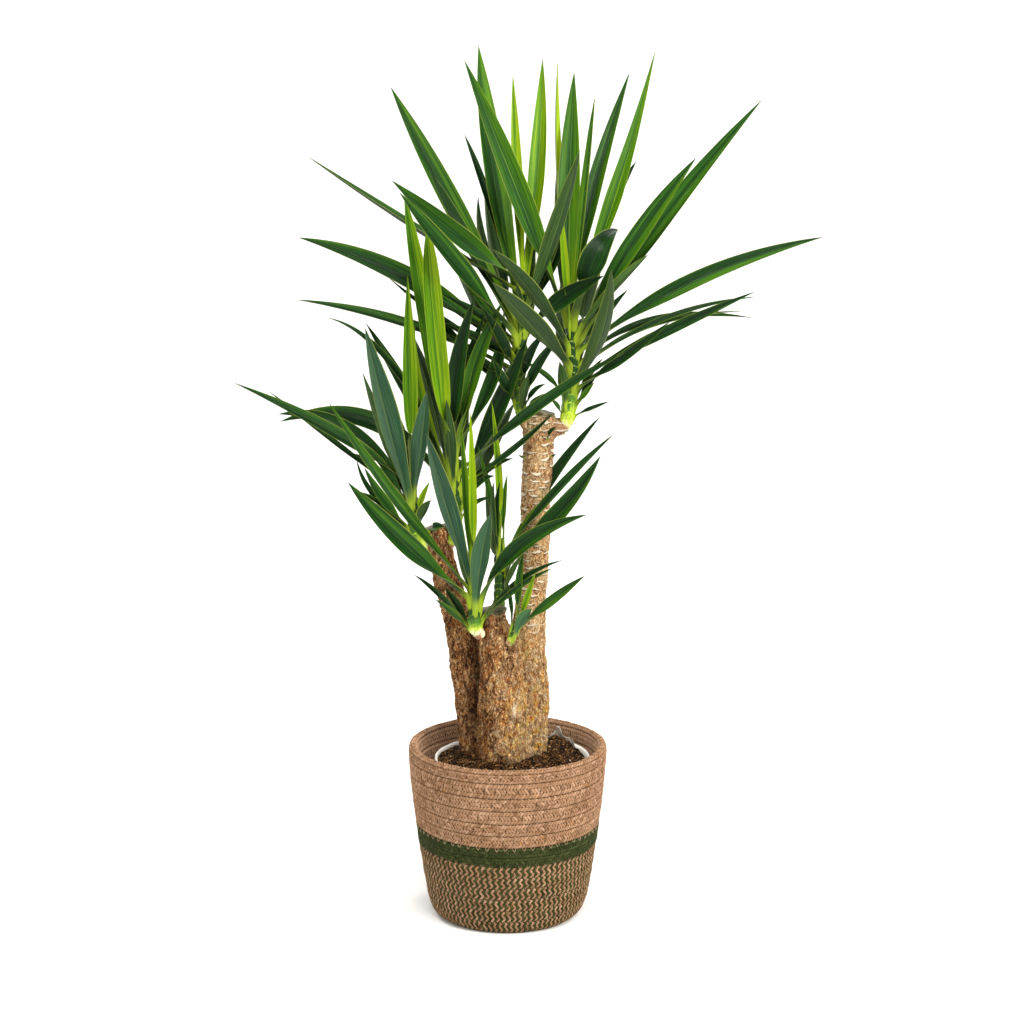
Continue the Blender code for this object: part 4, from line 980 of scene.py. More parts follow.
# the leaves of each shoot: height of the foot, a point halfway, the tip, width, turn of the upper face from the
# front in degrees, and tone from 0 for the oldest dark leaf to 1 for the youngest. The CAD's leaves come first.
leaves = {
    "tall_left": (
        (82.5, (-1.8, 5.4, 101.4), (-3.9, 12.0, 117.4), 3.3, 24, 0.55),
        (81.0, (-7.8, 4.5, 97.5), (-15.7, 10.0, 112.0), 2.9, 20, 0.35),
        (86.5, (-6.5, -3.5, 93.2), (-14.5, -12.0, 100.6), 2.6, 20, 0.40),
        (79.5, (-6.7, -5.4, 89.9), (-13.6, -10.4, 99.0), 2.7, 40, 0.25),
        (86.5, (4.0, 4.5, 101.8), (4.7, 11.0, 115.7), 2.3, 15, 0.80),
        (82.5, (6.1, -5.0, 93.8), (9.1, -12.0, 104.4), 2.2, 160, 0.35),
        (85.4, (-11.8, 1.6, 93.6), (-26.2, 3.6, 102.9), 2.0, 78, 0.20),
        (77.0, (-13.0, 3.4, 86.8), (-28.0, 5.0, 92.2), 2.9, 25, 0.30),
        (75.0, (-13.4, 4.0, 80.7), (-28.5, 7.0, 83.7), 1.9, 55, 0.20),
        (80.5, (7.4, -0.5, 84.5), (12.5, -4.0, 87.9), 2.7, 30, 0.10),
        (80.0, (-5.6, 1.6, 92.6), (-10.3, 1.2, 101.3), 1.8, 25, 0.15),
        (86.0, (1.3, 2.5, 100.0), (0.7, 4.0, 113.8), 1.5, 10, 0.95),
        (84.0, (-2.6, 4.5, 97.5), (-5.8, 7.0, 105.8), 1.1, 20, 0.10),
        (82.0, (-2.7, 4.5, 89.5), (-3.9, 6.0, 97.7), 1.4, 160, 0.30),
        (82.0, (2.4, 3.5, 87.0), (4.2, 5.0, 92.8), 2.0, 20, 0.08),
        (82.0, (4.4, 3.5, 87.5), (7.2, 5.0, 92.2), 2.0, 20, 0.08),
        (82.0, (6.1, 5.5, 89.4), (9.6, 6.5, 98.2), 2.1, 20, 0.12),
        (80.0, (1.6, -1.0, 83.8), (1.2, -3.0, 86.8), 1.2, 170, 0.30),
        (70.5, (3.8, -1.0, 75.4), (7.3, -2.0, 80.2), 1.5, 30, 0.25),
        (76.0, (-8.0, 3.0, 81.0), (-15.8, 4.0, 86.9), 1.0, 40, 0.20),
        (78.0, (-2.2, 2.0, 82.2), (-5.3, 3.0, 85.6), 1.1, 30, 0.50),
        (79.0, (-3.5, 0.5, 82.3), (-8.8, 0.0, 85.2), 1.2, 30, 0.10),
        (77.5, (-3.6, 2.0, 80.6), (-8.3, 2.0, 83.5), 1.1, 30, 0.10),
        (76.0, (-3.2, 0.0, 79.0), (-8.3, 0.0, 81.4), 1.2, 35, 0.10),
        (73.5, (-3.6, 1.0, 76.2), (-8.2, 1.0, 79.5), 1.2, 35, 0.10),
        (70.0, (3.4, -0.5, 72.2), (5.0, -1.5, 73.4), 0.8, 40, 0.30),
        (69.5, (3.5, -0.8, 70.9), (4.9, -1.8, 72.2), 0.8, 40, 0.30),
        (69.5, (2.2, -0.6, 72.3), (2.8, -1.5, 74.7), 1.2, 170, 0.30),
        (71.5, (-3.5, 6.0, 82.0), (-9.5, 11.0, 93.0), 2.4, 150, 0.15),
        (74.0, (2.5, 8.0, 84.0), (3.5, 14.5, 96.0), 2.4, 200, 0.15),
        (78.0, (-1.5, 8.0, 89.0), (-3.2, 14.0, 99.0), 2.2, 150, 0.30),
        (70.8, (-0.6, 0.3, 73.6), (-1.9, -0.4, 76.6), 1.5, 30, 0.05),
        (72.5, (2.8, -0.8, 76.8), (4.9, -2.0, 80.2), 1.4, 30, 0.08),
        (74.5, (-0.8, -0.6, 79.2), (-3.4, -2.4, 83.6), 1.7, 35, 0.06),
        (72.5, (-5.5, 3.0, 77.0), (-12.0, 5.0, 85.5), 1.8, 60, 0.12),
    ),
    "tall_right": (
        (82.0, (1.3, 0.5, 98.8), (-5.6, -1.0, 115.5), 3.0, 10, 0.50),
        (84.5, (8.2, 5.0, 98.9), (8.9, 9.0, 114.0), 3.0, 5, 0.52),
        (83.0, (14.8, 6.0, 99.3), (19.9, 11.0, 117.2), 2.3, 20, 0.68),
        (84.0, (11.5, 7.5, 98.1), (16.6, 14.0, 114.0), 2.3, 25, 0.35),
        (81.5, (11.6, -0.6, 90.4), (14.8, 5.0, 93.2), 3.6, 12, 0.15),
        (79.3, (16.8, -1.0, 92.4), (24.4, -3.0, 103.1), 2.5, 20, 0.42),
        (78.2, (20.4, 1.5, 94.7), (33.5, 3.5, 110.4), 2.5, 25, 0.42),
        (77.2, (24.9, 3.6, 86.6), (42.4, 6.0, 92.2), 2.2, 20, 0.30),
        (73.0, (12.1, -6.0, 80.8), (13.0, -15.0, 89.8), 2.3, 165, 0.30),
        (75.5, (3.3, -7.0, 81.9), (-1.9, -16.0, 88.2), 3.0, 160, 0.20),
        (78.0, (3.2, -6.0, 86.1), (-1.8, -15.0, 92.2), 2.1, 160, 0.25),
        (75.5, (19.1, 5.0, 81.0), (33.4, 9.0, 81.0), 1.2, 40, 0.20),
        (74.0, (20.4, -1.0, 80.0), (32.3, -4.0, 85.9), 1.6, 35, 0.20),
        (72.5, (15.2, -3.5, 77.2), (20.9, -8.0, 82.4), 1.4, 30, 0.20),
        (84.0, (6.8, 6.0, 100.8), (6.7, 8.0, 115.0), 1.5, 60, 0.90),
        (83.0, (10.2, 3.5, 98.5), (11.5, 5.0, 110.6), 1.5, 50, 0.62),
        (82.5, (13.4, 9.0, 94.5), (17.5, 12.0, 102.0), 1.5, 25, 0.10),
        (80.5, (7.5, -1.0, 89.5), (6.8, -2.0, 97.2), 1.0, 10, 0.95),
        (80.0, (14.2, -1.0, 86.4), (18.4, -2.0, 90.5), 1.3, 160, 0.45),
        (77.5, (12.5, -0.5, 82.0), (15.8, -1.5, 85.9), 1.2, 30, 0.10),
        (75.0, (20.5, 1.5, 81.6), (33.3, 3.0, 84.5), 0.9, 40, 0.20),
        (74.8, (18.5, 3.5, 80.3), (31.5, 6.5, 82.2), 1.0, 60, 0.25),
        (71.5, (10.8, 0.5, 74.2), (12.6, 0.0, 76.6), 0.9, 30, 0.10),
        (70.5, (10.8, 1.2, 73.0), (12.3, 1.0, 74.9), 0.9, 30, 0.10),
        (70.0, (10.4, 0.6, 71.9), (11.5, 0.0, 73.4), 0.8, 30, 0.60),
        (68.8, (11.2, 1.0, 69.8), (13.6, 0.5, 70.8), 0.6, 30, 0.25),
        (70.5, (7.4, 0.6, 73.4), (6.9, 0.0, 76.2), 1.6, 165, 0.45),
        (71.5, (5.2, 0.5, 74.2), (2.1, -0.5, 76.3), 0.9, 40, 0.30),
        (69.0, (6.6, 0.8, 70.2), (5.7, 0.0, 71.3), 0.7, 40, 0.30),
        (76.0, (11.5, 8.0, 88.0), (15.0, 14.5, 99.0), 2.4, 200, 0.20),
        (74.5, (12.0, 7.5, 82.5), (15.0, 13.0, 89.0), 2.2, 200, 0.15),
        (79.0, (7.5, 9.0, 92.0), (7.0, 14.5, 104.0), 2.2, 190, 0.30),
        (73.0, (7.5, 7.5, 80.0), (8.0, 14.0, 88.0), 2.0, 190, 0.12),
    ),
    "left_inner": (
        (61.9, (-10.5, 1.2, 80.0), (-13.5, 0.0, 98.2), 2.3, 15, 0.72),
        (60.6, (-9.2, -2.3, 77.9), (-10.3, -5.2, 94.6), 2.5, 10, 0.85),
        (60.4, (-13.2, 3.0, 71.1), (-19.2, 7.0, 80.6), 2.0, 40, 0.25),
        (62.0, (-6.8, -0.8, 74.0), (-4.2, -4.0, 85.2), 2.5, 20, 0.20),
        (64.3, (-1.9, 0.75, 73.9), (-0.5, 0.5, 82.9), 2.1, 30, 0.35),
        (59.0, (-1.2, 0.9, 69.8), (2.7, -1.5, 79.7), 2.7, 30, 0.20),
        (61.0, (4.1, -3.2, 70.8), (15.2, -5.0, 78.0), 1.6, 30, 0.25),
        (58.6, (-18.5, 6.0, 67.2), (-31.3, 9.0, 66.7), 2.8, 35, 0.20),
        (61.0, (-15.5, 2.0, 75.5), (-24.0, 3.0, 81.7), 1.0, 40, 0.15),
        (61.0, (-11.6, 1.0, 72.5), (-12.2, 0.0, 81.0), 1.0, 10, 0.90),
        (63.0, (-4.6, 1.0, 72.5), (-2.6, 0.0, 78.1), 0.8, 15, 0.90),
        (63.5, (-4.4, -0.4, 75.0), (-0.6, -1.0, 84.3), 2.3, 25, 0.52),
        (62.5, (-5.6, 0.6, 73.6), (-2.8, 0.2, 82.8), 1.7, 25, 0.30),
        (59.5, (-7.7, -0.2, 65.8), (-8.1, -1.0, 71.3), 1.7, 165, 0.35),
        (57.5, (-3.2, 1.0, 61.2), (0.8, 0.0, 63.2), 1.2, 25, 0.10),
        (56.5, (-4.0, 0.8, 59.6), (-1.7, 0.0, 60.8), 1.0, 25, 0.10),
        (55.0, (-4.3, 0.8, 57.0), (-2.0, 0.0, 57.9), 0.7, 25, 0.10),
        (59.0, (0.6, -0.6, 64.4), (6.2, -1.5, 69.7), 0.9, 30, 0.20),
        (57.0, (-6.5, 8.0, 68.0), (-6.0, 14.0, 77.0), 2.4, 190, 0.20),
        (58.0, (-10.0, 7.5, 69.0), (-13.5, 13.0, 79.0), 2.2, 170, 0.15),
        (56.0, (-2.5, 7.0, 63.5), (1.0, 12.0, 69.0), 2.0, 200, 0.12),
    ),
    "left_outer": (
        (61.0, (-12.9, -1.0, 73.5), (-13.0, -3.0, 88.0), 2.0, 10, 0.75),
        (57.0, (-15.6, -6.0, 69.7), (-17.9, -14.0, 82.3), 3.1, 165, 0.30),
        (59.5, (-22.5, 0.0, 66.4), (-36.2, -2.0, 73.7), 1.8, 35, 0.25),
        (58.5, (-11.5, -3.0, 66.3), (-10.4, -9.0, 73.5), 2.4, 160, 0.30),
        (58.0, (-16.4, 0.5, 66.0), (-19.3, 1.0, 74.7), 1.6, 160, 0.30),
        (57.5, (-23.5, 2.0, 65.3), (-32.3, 3.0, 72.0), 0.8, 30, 0.10),
        (59.3, (-22.0, 3.0, 66.9), (-31.0, 4.0, 68.5), 2.0, 30, 0.12),
        (56.5, (-17.6, 2.0, 61.4), (-21.5, 3.0, 63.4), 0.9, 30, 0.10),
        (56.5, (-16.0, 0.5, 61.2), (-18.8, 0.0, 64.3), 1.0, 30, 0.20),
        (57.0, (-15.2, 1.8, 60.9), (-17.5, 2.5, 62.6), 1.8, 30, 0.10),
        (53.8, (-18.1, 0.0, 58.4), (-20.1, -0.5, 63.1), 0.8, 30, 0.20),
        (53.5, (-16.6, -0.5, 57.7), (-19.1, -1.0, 62.2), 1.3, 25, 0.40),
        (53.8, (-16.8, 0.0, 56.9), (-19.7, -0.5, 58.7), 0.8, 30, 0.30),
        (53.0, (-15.4, 0.0, 55.3), (-17.6, -0.5, 57.1), 1.0, 30, 0.20),
        (53.5, (-11.4, -0.3, 56.0), (-10.2, -1.5, 57.8), 1.3, 160, 0.35),
        (55.5, (-11.5, 0.0, 57.7), (-10.4, -0.5, 60.1), 0.9, 20, 0.90),
        (55.5, (-14.5, 7.0, 64.0), (-17.5, 12.5, 70.5), 2.2, 170, 0.15),
        (57.5, (-12.0, 7.0, 67.0), (-12.0, 12.0, 76.0), 2.0, 185, 0.20),
    ),
    "front_left": (
        (46.5, (-7.9, -8.0, 58.5), (-10.2, -16.0, 69.1), 2.6, 165, 0.25),
        (46.0, (-14.6, -4.5, 58.4), (-23.5, -5.0, 71.7), 1.6, 20, 0.40),
        (45.0, (-13.6, -7.6, 53.4), (-20.6, -11.0, 62.0), 2.9, 32, 0.30),
        (44.0, (-3.5, -7.5, 51.6), (-2.1, -13.0, 58.2), 2.5, 170, 0.30),
        (44.5, (1.6, -6.0, 52.4), (10.4, -10.0, 57.5), 2.3, 30, 0.30),
        (47.5, (-4.6, -4.0, 58.9), (-4.9, -4.5, 70.5), 1.1, 10, 0.95),
        (47.0, (-5.4, -3.2, 57.5), (-6.1, -3.0, 68.1), 1.1, 15, 0.70),
        (43.5, (-0.6, -4.0, 50.0), (4.1, -4.5, 52.3), 1.3, 30, 0.30),
        (42.0, (1.6, -4.3, 47.4), (7.5, -5.0, 50.4), 0.8, 30, 0.30),
        (41.6, (1.2, -4.8, 46.4), (6.1, -5.5, 49.4), 0.8, 30, 0.30),
        (41.0, (-9.0, -3.6, 45.2), (-12.5, -4.0, 48.2), 0.8, 30, 0.20),
        (40.6, (-7.3, -3.8, 42.9), (-9.7, -4.0, 44.8), 0.9, 30, 0.30),
        (41.2, (-6.8, -2.8, 43.8), (-8.4, -3.0, 46.2), 1.1, 30, 0.10),
        (40.8, (-6.8, -3.2, 42.4), (-8.3, -3.5, 44.3), 0.8, 30, 0.20),
        (43.0, (-6.0, -0.8, 50.0), (-8.0, 2.5, 56.0), 1.6, 170, 0.20),
    ),
    "front_rear": (
        (50.0, (6.6, -1.4, 59.2), (14.2, -1.0, 66.7), 1.2, 25, 0.30),
        (49.0, (6.9, -3.5, 56.5), (12.2, -6.0, 64.6), 2.6, 30, 0.30),
        (51.0, (-2.3, 0.8, 57.5), (-4.0, 0.5, 64.9), 0.8, 20, 0.50),
        (51.5, (-1.2, 0.6, 61.0), (-2.1, 0.0, 70.9), 1.0, 10, 0.95),
        (51.0, (-0.5, 1.0, 56.5), (0.0, 1.0, 60.9), 0.8, 20, 0.60),
        (50.0, (-1.5, 0.5, 55.5), (-1.0, 0.0, 60.0), 0.9, 20, 0.10),
        (50.5, (-2.0, 0.3, 56.0), (-1.8, -0.5, 60.1), 0.8, 165, 0.40),
        (48.5, (5.3, 1.8, 59.2), (12.5, 2.5, 68.5), 1.6, 25, 0.12),
        (47.5, (1.4, 0.6, 52.5), (4.0, 0.0, 57.0), 0.7, 20, 0.80),
        (44.5, (0.6, 0.2, 47.6), (2.0, -0.5, 50.2), 1.0, 150, 0.30),
        (46.0, (-2.0, 6.5, 53.0), (-3.0, 11.0, 60.0), 1.8, 180, 0.20),
        (45.0, (1.5, 6.0, 51.0), (4.5, 10.0, 56.0), 1.6, 195, 0.20),
    ),
    "front_right": (
        (41.0, (5.9, -6.0, 45.1), (10.2, -9.0, 49.2), 1.4, 30, 0.40),
        (41.8, (1.5, -4.7, 46.9), (2.1, -5.0, 51.3), 1.1, 20, 0.45),
        (41.5, (2.6, -4.9, 45.2), (3.7, -5.5, 48.8), 0.9, 20, 0.95),
        (40.0, (2.0, -5.2, 42.4), (3.2, -6.0, 44.0), 1.6, 165, 0.45),
        (41.2, (0.4, -4.4, 44.6), (-0.1, -4.6, 47.5), 0.6, 20, 0.10),
    ),
}
cadLeaves = {"tall_left": 10, "tall_right": 14, "left_inner": 8, "left_outer": 4, "front_left": 5, "front_rear": 2,
             "front_right": 1}
# leaves with a waxy bloom below, and leaves with an end of their own: how full it is, from 1 for drawn out
bluish = {"front_left": (0, 3), "left_outer": (1, 3), "left_inner": (12,), "front_right": (3,)}
tips = {"tall_right": {2: 1.05, 4: 1.25}, "left_inner": {0: 3.2, 1: 4.5}}
blade = {
    "rings": 36, "across": 11, "fold": 33.0, "foot": 0.36, "broadest": 0.46, "full": 1.9, "thick": 0.13, "rim": 0.028,
    "sheath": 1.5, "sheathRings": 5, "wave": 0.045, "twist": 9.0,
    "dark": (0.003, 0.018, 0.003), "deep": (0.012, 0.062, 0.006), "fresh": (0.068, 0.190, 0.003),
    "young": (0.25, 0.375, 0.003), "margin": (0.40, 0.46, 0.06), "base": (0.34, 0.47, 0.022),
    "under": (0.058, 0.100, 0.025), "underDark": (0.011, 0.031, 0.007), "rib": (0.13, 0.22, 0.045),
    "waxy": (0.062, 0.150, 0.086), "waxyDark": (0.010, 0.046, 0.024), "sheen": (0.085, 0.145, 0.060),
    "dry": (0.12, 0.075, 0.03),
}


def stemAt(stem, heights):  # middle and radius of a stem at several heights, straight between its points
    x, y, z, radius = np.array(stem).T
    return spots(np.interp(heights, z, x), np.interp(heights, z, y), heights), np.interp(heights, z, radius)


def bladeSurface(stem, row, seed, full=blade["full"]):
    # The path is a quadratic curve from the stem through the middle point to the tip, led in by a short sheath that
    # lies on the stem. Each ring is square to the path: its upper side is a channel, part bowl and part V, as wide as
    # the blade there, and its underside is the same line let down by the blade's thickness.
    rise, middle, tip, width, face, tone = row
    middle, tip = np.array(middle, float), np.array(tip, float)
    chance = np.random.default_rng(seed)
    axis, radius = stemAt(stem, np.array([rise]))
    outward = unit((middle - axis[0]) * np.array([1.0, 1.0, 0.0]))
    start = axis[0] + outward * (radius[0] + 0.03)
    control = 2 * middle - (start + tip) / 2
    side = 1.0 if tip[0] < start[0] else -1.0
    u = 1 - (1 - np.linspace(0, 0.992, blade["rings"])) ** 1.12
    path = start * (1 - u[:, None]) ** 2 + 2 * control * (u * (1 - u))[:, None] + tip * u[:, None] ** 2
    low = np.linspace(1.0, 1 / blade["sheathRings"], blade["sheathRings"])
    feet, girth = stemAt(stem, np.maximum(rise - blade["sheath"] * low, stem[0][2] + 0.2))
    sheath = feet + outward * (girth * (1 - 0.45 * low ** 2) + 0.02)[:, None]
    path = np.concatenate([sheath, path])
    u = np.concatenate([-0.04 * low, u])
    for _ in range(2):  # rounds the corner where the sheath opens into the blade
        path[1:10] = (path[:9] + 2 * path[1:10] + path[2:11]) / 4
    along = unit(np.gradient(path, axis=0))
    length = np.concatenate([[0], np.cumsum(np.linalg.norm(np.diff(path, axis=0), axis=1))])

    # the upper face looks in along the stem at the foot and turns to its own side further out
    turned = np.radians(face + chance.uniform(-1, 1) * blade["twist"] * np.clip(u, 0, 1) ** 2)[:, None]
    front = np.array([0.0, -1.0, 0.0])
    front = unit(front - (along @ front)[:, None] * along)
    facing = np.cos(turned) * front + np.sin(turned) * side * np.cross(along, front)
    inward = np.array([0.0, 0.0, 0.5]) - outward
    inward = unit(inward - (along @ inward)[:, None] * along)
    share = smooth(0.0, 0.45, u)[:, None]
    normal = inward * (1 - share) + facing * share
    normal = unit(normal - (normal * along).sum(1, keepdims=True) * along)
    across = np.cross(along, normal)

    fall = np.clip((u - blade["broadest"]) / (1 - blade["broadest"]), 0, 1)
    profile = np.where(u < blade["broadest"], blade["foot"] + (1 - blade["foot"]) * smooth(0, blade["broadest"], u),
                       1 - fall ** full)
    clasp = 1 - smooth(-0.04, 0.16, u)  # 1 where the foot clasps the stem
    half = (width * profile / 2 * (1 + 0.35 * clasp))[:, None]
    s = np.sin(np.linspace(-1, 1, blade["across"]) * math.pi / 2)[None, :]
    bowl = (0.10 + 0.75 * clasp)[:, None]
    crease = (math.sin(math.radians(blade["fold"])) * (1 - 0.8 * clasp))[:, None]
    lift = half * (bowl * s ** 2 + crease * (np.sqrt(s ** 2 + 0.012) - 0.1) - 0.5 * (bowl + crease))
    phase = chance.uniform(0, turn, 2)
    ripple = np.where(s < 0, np.sin(turn * 1.7 * u[:, None] + phase[0]), np.sin(turn * 1.4 * u[:, None] + phase[1]))
    lift = lift + blade["wave"] * width / 2.5 * s ** 2 * ripple * (profile * (1 - clasp))[:, None]
    reach = half * s * (1 - 0.3 * (bowl - 0.1) * s ** 2)
    thick = (blade["thick"] * (0.45 + 0.55 * profile) * (1 + 0.8 * clasp))[:, None]
    thick = blade["rim"] + thick * (1 - s ** 2) ** 0.8
    top = path[:, None] + reach[..., None] * across[:, None] + lift[..., None] * normal[:, None]
    under = top - thick[..., None] * normal[:, None]
    points, quads, triangles = capped(np.concatenate([top, under[:, ::-1]], axis=1), path[0], tip)

    # for each point, then for the two middle points: how far across and along it is, and whether on the underside
    rings, columns = len(u), 2 * blade["across"]
    sideways = np.append(np.tile(np.append(s, s[:, ::-1]), rings), [0, 0])
    lower = np.append(np.tile(np.repeat([0.0, 1.0], blade["across"]), rings), [0, 0])
    uv = spots(sideways * width / 2, np.append(np.repeat(length, columns), [0, length[-1]]))
    return points, quads, triangles, uv, {
        "along": np.append(np.repeat(u, columns), [u[0], 1.0]), "across": sideways, "under": lower,
        "tone": np.clip(tone + chance.uniform(-0.05, 0.05), 0, 1), "chance": chance.uniform(),
    }


def bladeVeins():
    # long streaks and fine veins that run the length of a blade; the vector is centimetres across and along
    tree, given, out = newGroup("bladeVeins", {"Vector": "NodeSocketVector", "Chance": "NodeSocketFloat"},
                                ("Streak", "Vein"))
    shift = combined(tree, times(tree, given["Chance"], 37.0), times(tree, given["Chance"], 11.0))
    place = vectorMaths(tree, "ADD", given["Vector"], shift)["Vector"]
    tree.links.new(noise(tree, stretched(tree, place, (2.9, 0.05, 1.0)), 1.0, 3.0, 0.6), out["Streak"])
    tree.links.new(noise(tree, stretched(tree, place, (22.0, 0.10, 1.0)), 1.0, 2.0, 0.6), out["Vein"])


def bladeMaterial():
    material, tree, inputs = newMaterial("leafBlade", 0.15)
    grow, across, under, tone, chance, bloom = attributes(tree, "along", "across", "under", "tone", "chance", "bloom")
    veins = useGroup(tree, "bladeVeins", {"Vector": surfacePlace(tree), "Chance": chance})
    streak, vein = veins["Streak"], veins["Vein"]
    edge = maths(tree, "ABSOLUTE", across)
    share = swing(tree, vein, 0.55, swing(tree, streak, 1.15, tone))
    share = scaled(tree, ease(tree, grow, 0.30, -0.02), 0.30, share)
    # painted light and shade: one half of the blade, either side of the fold, is lighter than the other
    share = swing(tree, ease(tree, across, -0.08, 0.08), 0.20, share)
    share = scaled(tree, ease(tree, edge, 0.42, 0.08), -0.24, share)
    share = scaled(tree, ease(tree, edge, 0.045, 0.01), 0.36, share, clamp=True)
    colour = ramp(tree, share, blade, dark=0.0, deep=0.34, fresh=0.68, young=1.0)
    # painted light: on the underside too one half is lighter, mixed with the real streaks and veins
    lit = scaled(tree, ease(tree, across, -0.1, 0.1), 0.60, times(tree, streak, 0.35))
    lit = swing(tree, vein, 2.0, lit, clamp=True)
    below = blend(tree, lit, blade["underDark"], blade["under"])
    below = blend(tree, bloom, below, blend(tree, lit, blade["waxyDark"], blade["waxy"]))
    below = coats(tree, below, (blade["rib"], edge, 0.07, 0.02, 0.7))
    colour = stain(tree, colour, below, under, scaled(tree, tone, -0.45, 0.85))
    colour = coats(tree, colour, (blade["sheen"], vein, 0.52, 0.70, scaled(tree, under, 0.28, 0.06)),
                   (blade["margin"], edge, 0.91, 0.985, 0.48), (blade["base"], grow, 0.10, -0.02, 0.80),
                   (blade["dry"], grow, 0.985, 1.0, 1.0))
    rough = scaled(tree, vein, 0.20, scaled(tree, under, 0.20, 0.20))
    finish(tree, inputs, colour, rough, scaled(tree, streak, 0.8, vein), 0.0008, 0.8)
    return material


bladeVeins()
bladeFinish = bladeMaterial()
for place, (shoot, rows) in enumerate(leaves.items()):  # every blade has a seed of its own
    crown = newGather()
    for number, row in enumerate(rows):
        full = tips.get(shoot, {}).get(number, blade["full"])
        points, quads, triangles, uv, values = bladeSurface(shoots[shoot], row, 100 * place + number, full)
        gather(crown, points, quads, triangles, uv, bloom=float(number in bluish.get(shoot, ())), **values)
    crownPiece = makePiece(shoot + "_leaves", crown, bladeFinish)
    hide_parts(*[f"{shoot}_leaf_{k + 1}" for k in range(cadLeaves[shoot])])
    print(shoot, "leaves:", len(rows), "blades,", crown["count"], "points")

# the stems: the feet of old leaves wrapped one over another, pale at the bottom where the shoot leaves the bark
stem = {
    "sides": 32, "step": 0.13, "scale": 1.05, "lip": 0.13, "ribs": 6.0,
    "white": (0.82, 0.79, 0.50), "yellow": (0.52, 0.66, 0.04), "green": (0.075, 0.20, 0.014),
    "dark": (0.014, 0.052, 0.007), "brown": (0.36, 0.17, 0.09),
    # how pale the bottom is and how far up that goes
    "pale": {"front_left": (0.66, 3.4), "front_right": (0.42, 2.4), "front_rear": (0.12, 3.0),
             "tall_right": (0.24, 5.0), "tall_left": (0.10, 2.0),
             "left_outer": (0.30, 4.5), "left_inner": (0.20, 3.0)},
}


def stemMaterial():
    material, tree, inputs = newMaterial("stemSkin", 0.22)
    rise, lap, bulb, far = attributes(tree, "rise", "lap", "bulb", "far")
    rib = noise(tree, stretched(tree, surfacePlace(tree), (9.0, 0.5, 1.0)), 1.0, 3.0, 0.6)
    cloud = noise(tree, objectPlace(tree), 70.0, 3.0, 0.6)
    share = swing(tree, cloud, 0.5, swing(tree, rib, 0.9, maths(tree, "ADD", rise, 0.42)))
    share = maths(tree, "SUBTRACT", share, bulb, clamp=True)
    colour = ramp(tree, share, stem, white=0.0, yellow=0.24, green=0.52, dark=0.85)
    colour = coats(tree, colour, (stem["yellow"], lap, 0.84, 0.98, 0.85), (stem["dark"], lap, 0.22, 0.0, 0.60),
                   (stem["brown"], far, 1.0, 0.55, ease(tree, cloud, 0.38, 0.5)))
    finish(tree, inputs, colour, scaled(tree, rib, 0.2, 0.32), rib, 0.0006, 0.6)
    return material


stemFinish = stemMaterial()
for shoot, line in shoots.items():
    path = refine(line, stem["step"])
    points, quads, triangles, ring = tube(path, stem["sides"])
    spin = np.append(np.tile(np.arange(stem["sides"]) / stem["sides"], len(path)), [0, 0])
    far = np.cumsum(np.linalg.norm(np.diff(path[:, :3], axis=0, prepend=path[:1, :3]), axis=1))[ring]
    # every scale goes half way round and tapers upwards from its own foot: a saw tooth up the stem, slanted round it
    lap = far / stem["scale"] + 0.30 * np.cos(spin * turn * 2) + 0.35 * softNoise(points * 0.8, 111)
    lap = lap - np.floor(lap)
    out = unit(points - path[ring, :3] + 1e-9)
    swell = stem["lip"] * (smooth(0.0, 0.85, lap) - smooth(0.90, 1.0, lap) - 0.4) * np.minimum(path[ring, 3], 0.8)
    pale, upTo = stem["pale"][shoot]
    stemParts = newGather()
    gather(stemParts, points + out * swell[:, None], quads, triangles, uv=spots(spin * stem["ribs"], far),
           rise=far / far[-1], lap=lap, bulb=pale * (1.0 - smooth(0.2, upTo, far)), far=far)
    stemPiece = makePiece(shoot + "_stem", stemParts, stemFinish, uvWrap=stem["ribs"])
    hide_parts(shoot + "_shoot")
print("stems:", len(shoots))

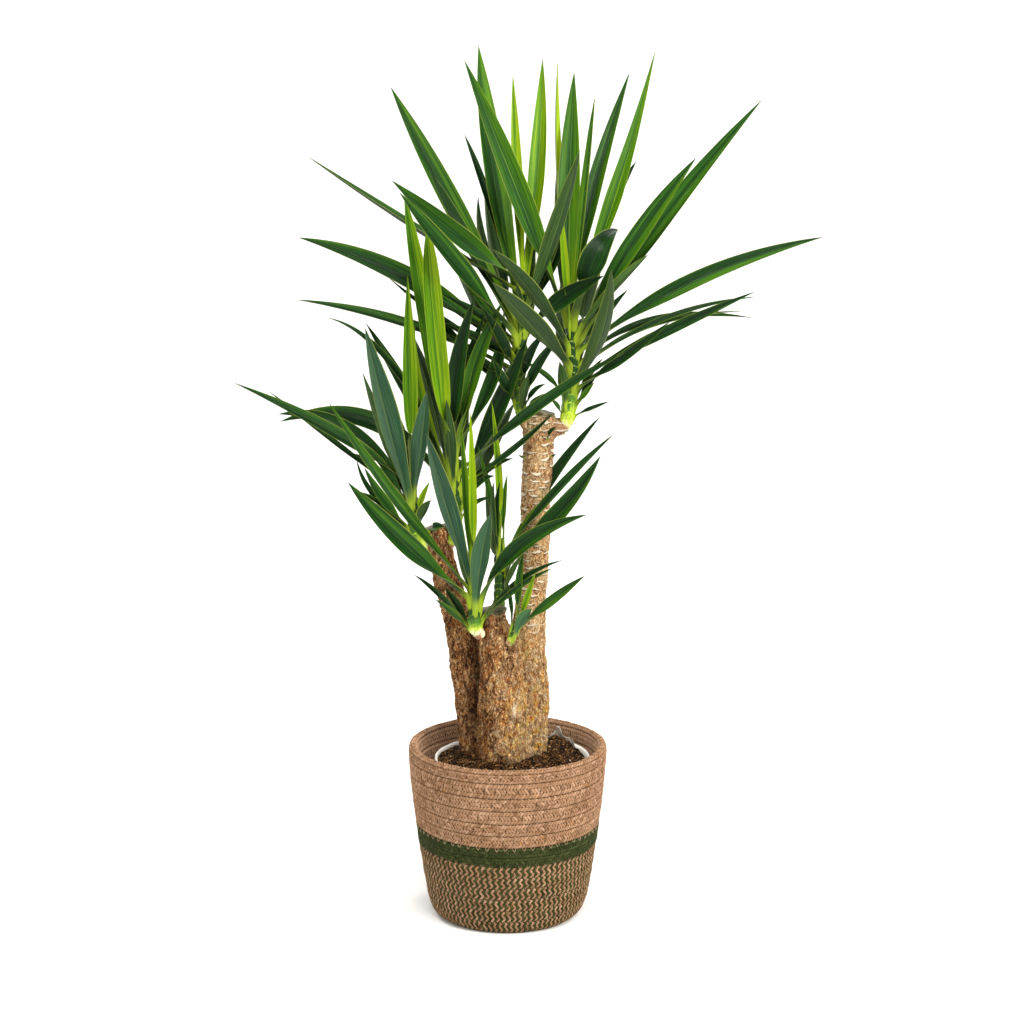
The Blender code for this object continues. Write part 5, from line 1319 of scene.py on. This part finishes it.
# the sewing: a pale zigzag of thread over the green band's top edge, and a finer one across each seam of the mixed
# rows. A band is its seam, how far it reaches below and above, half a stitch's width and its share of the thickness.
sewing = {"pitch": 1.26, "thread": 0.034, "sides": 6, "proud": 0.035, "sunk": 0.10,
          "bands": [(8, 0.46, 0.06, 0.26, 0.75)] + [(row, 0.24, 0.22, 0.20, 0.5) for row in range(1, 7)],
          "dark": (0.42, 0.28, 0.16), "light": (0.66, 0.50, 0.34), "shadow": (0.34, 0.20, 0.10)}
threads = newGather()
chance = np.random.default_rng(17)
bend = np.linspace(-1, 1, 9)
for row, low, high, spread, share in sewing["bands"]:
    level = seams[row]
    count = int(round(turn * wallRadius(level) / sewing["pitch"]))
    for k in range(count):
        # each stitch runs down to its needle hole and back up, lying on the rows it crosses
        height = level + high - (1 - np.abs(bend)) * (low + high) * chance.uniform(0.8, 1.1)
        part = np.where(height < level, (height - seams[row - 1]) / (level - seams[row - 1]),
                        (height - level) / (seams[row + 1] - level))
        away = wallRadius(height) + basket["bulge"] * (rowBulge(part) - 1) + basket["strand"] / 2 + sewing["proud"]
        away = away - sewing["sunk"] * ((np.abs(bend) > 0.95) | (np.abs(bend) < 0.05))
        angle = (k + chance.uniform(-0.12, 0.12)) / count * turn + spread * bend / wallRadius(level)
        line = spots(away * np.cos(angle), away * np.sin(angle), height, sewing["thread"] * share)
        points, quads, triangles, _ = tube(line, sewing["sides"])
        gather(threads, points, quads, triangles, tint=chance.uniform())


def threadMaterial():
    material, tree, inputs = newMaterial("sewingThread", 0.1)
    ply = noise(tree, objectPlace(tree), 1400.0, 3.0, 0.7)
    colour = blend(tree, *attributes(tree, "tint"), sewing["dark"], sewing["light"])
    colour = coats(tree, colour, (sewing["shadow"], ply, 0.50, 0.36, 1.0))
    finish(tree, inputs, colour, 0.8, ply, 0.0002, 0.8)
    return material


makePiece("sewing_thread", threads, threadMaterial())
print("sewing:", threads["count"], "points")

# small green buds and sprouts on the canes: the foot, a point halfway, the tip, width and tone
sprouts = (
    ((5.3, 0.6, 65.8), (5.7, 0.0, 66.8), (6.6, -0.2, 67.5), 0.55, 0.25),
    ((2.4, 0.9, 63.2), (1.9, 0.5, 63.3), (1.5, 0.3, 63.6), 0.30, 0.3),
    ((5.7, 1.0, 63.4), (6.1, 0.8, 63.4), (6.5, 0.7, 63.7), 0.30, 0.3),
    ((-0.1, -3.4, 38.3), (0.0, -3.75, 38.7), (0.1, -3.85, 39.2), 0.5, 0.6),
    ((-10.6, 0.8, 53.2), (-9.6, -0.4, 54.0), (-8.5, -0.9, 54.0), 1.1, 0.25),
)
sproutParts = newGather()
for number, ((x, y, z), halfway, tip, width, tone) in enumerate(sprouts):
    twig = ((x, y, z - 0.3, 0.05), (x, y, z + 1.0, 0.05))
    points, quads, triangles, uv, values = bladeSurface(twig, (z, halfway, tip, width, 30, tone), 900 + number)
    gather(sproutParts, points, quads, triangles, uv, bloom=0.0, **values)
makePiece("cane_sprouts", sproutParts, bladeFinish)
print("sprouts:", len(sprouts))
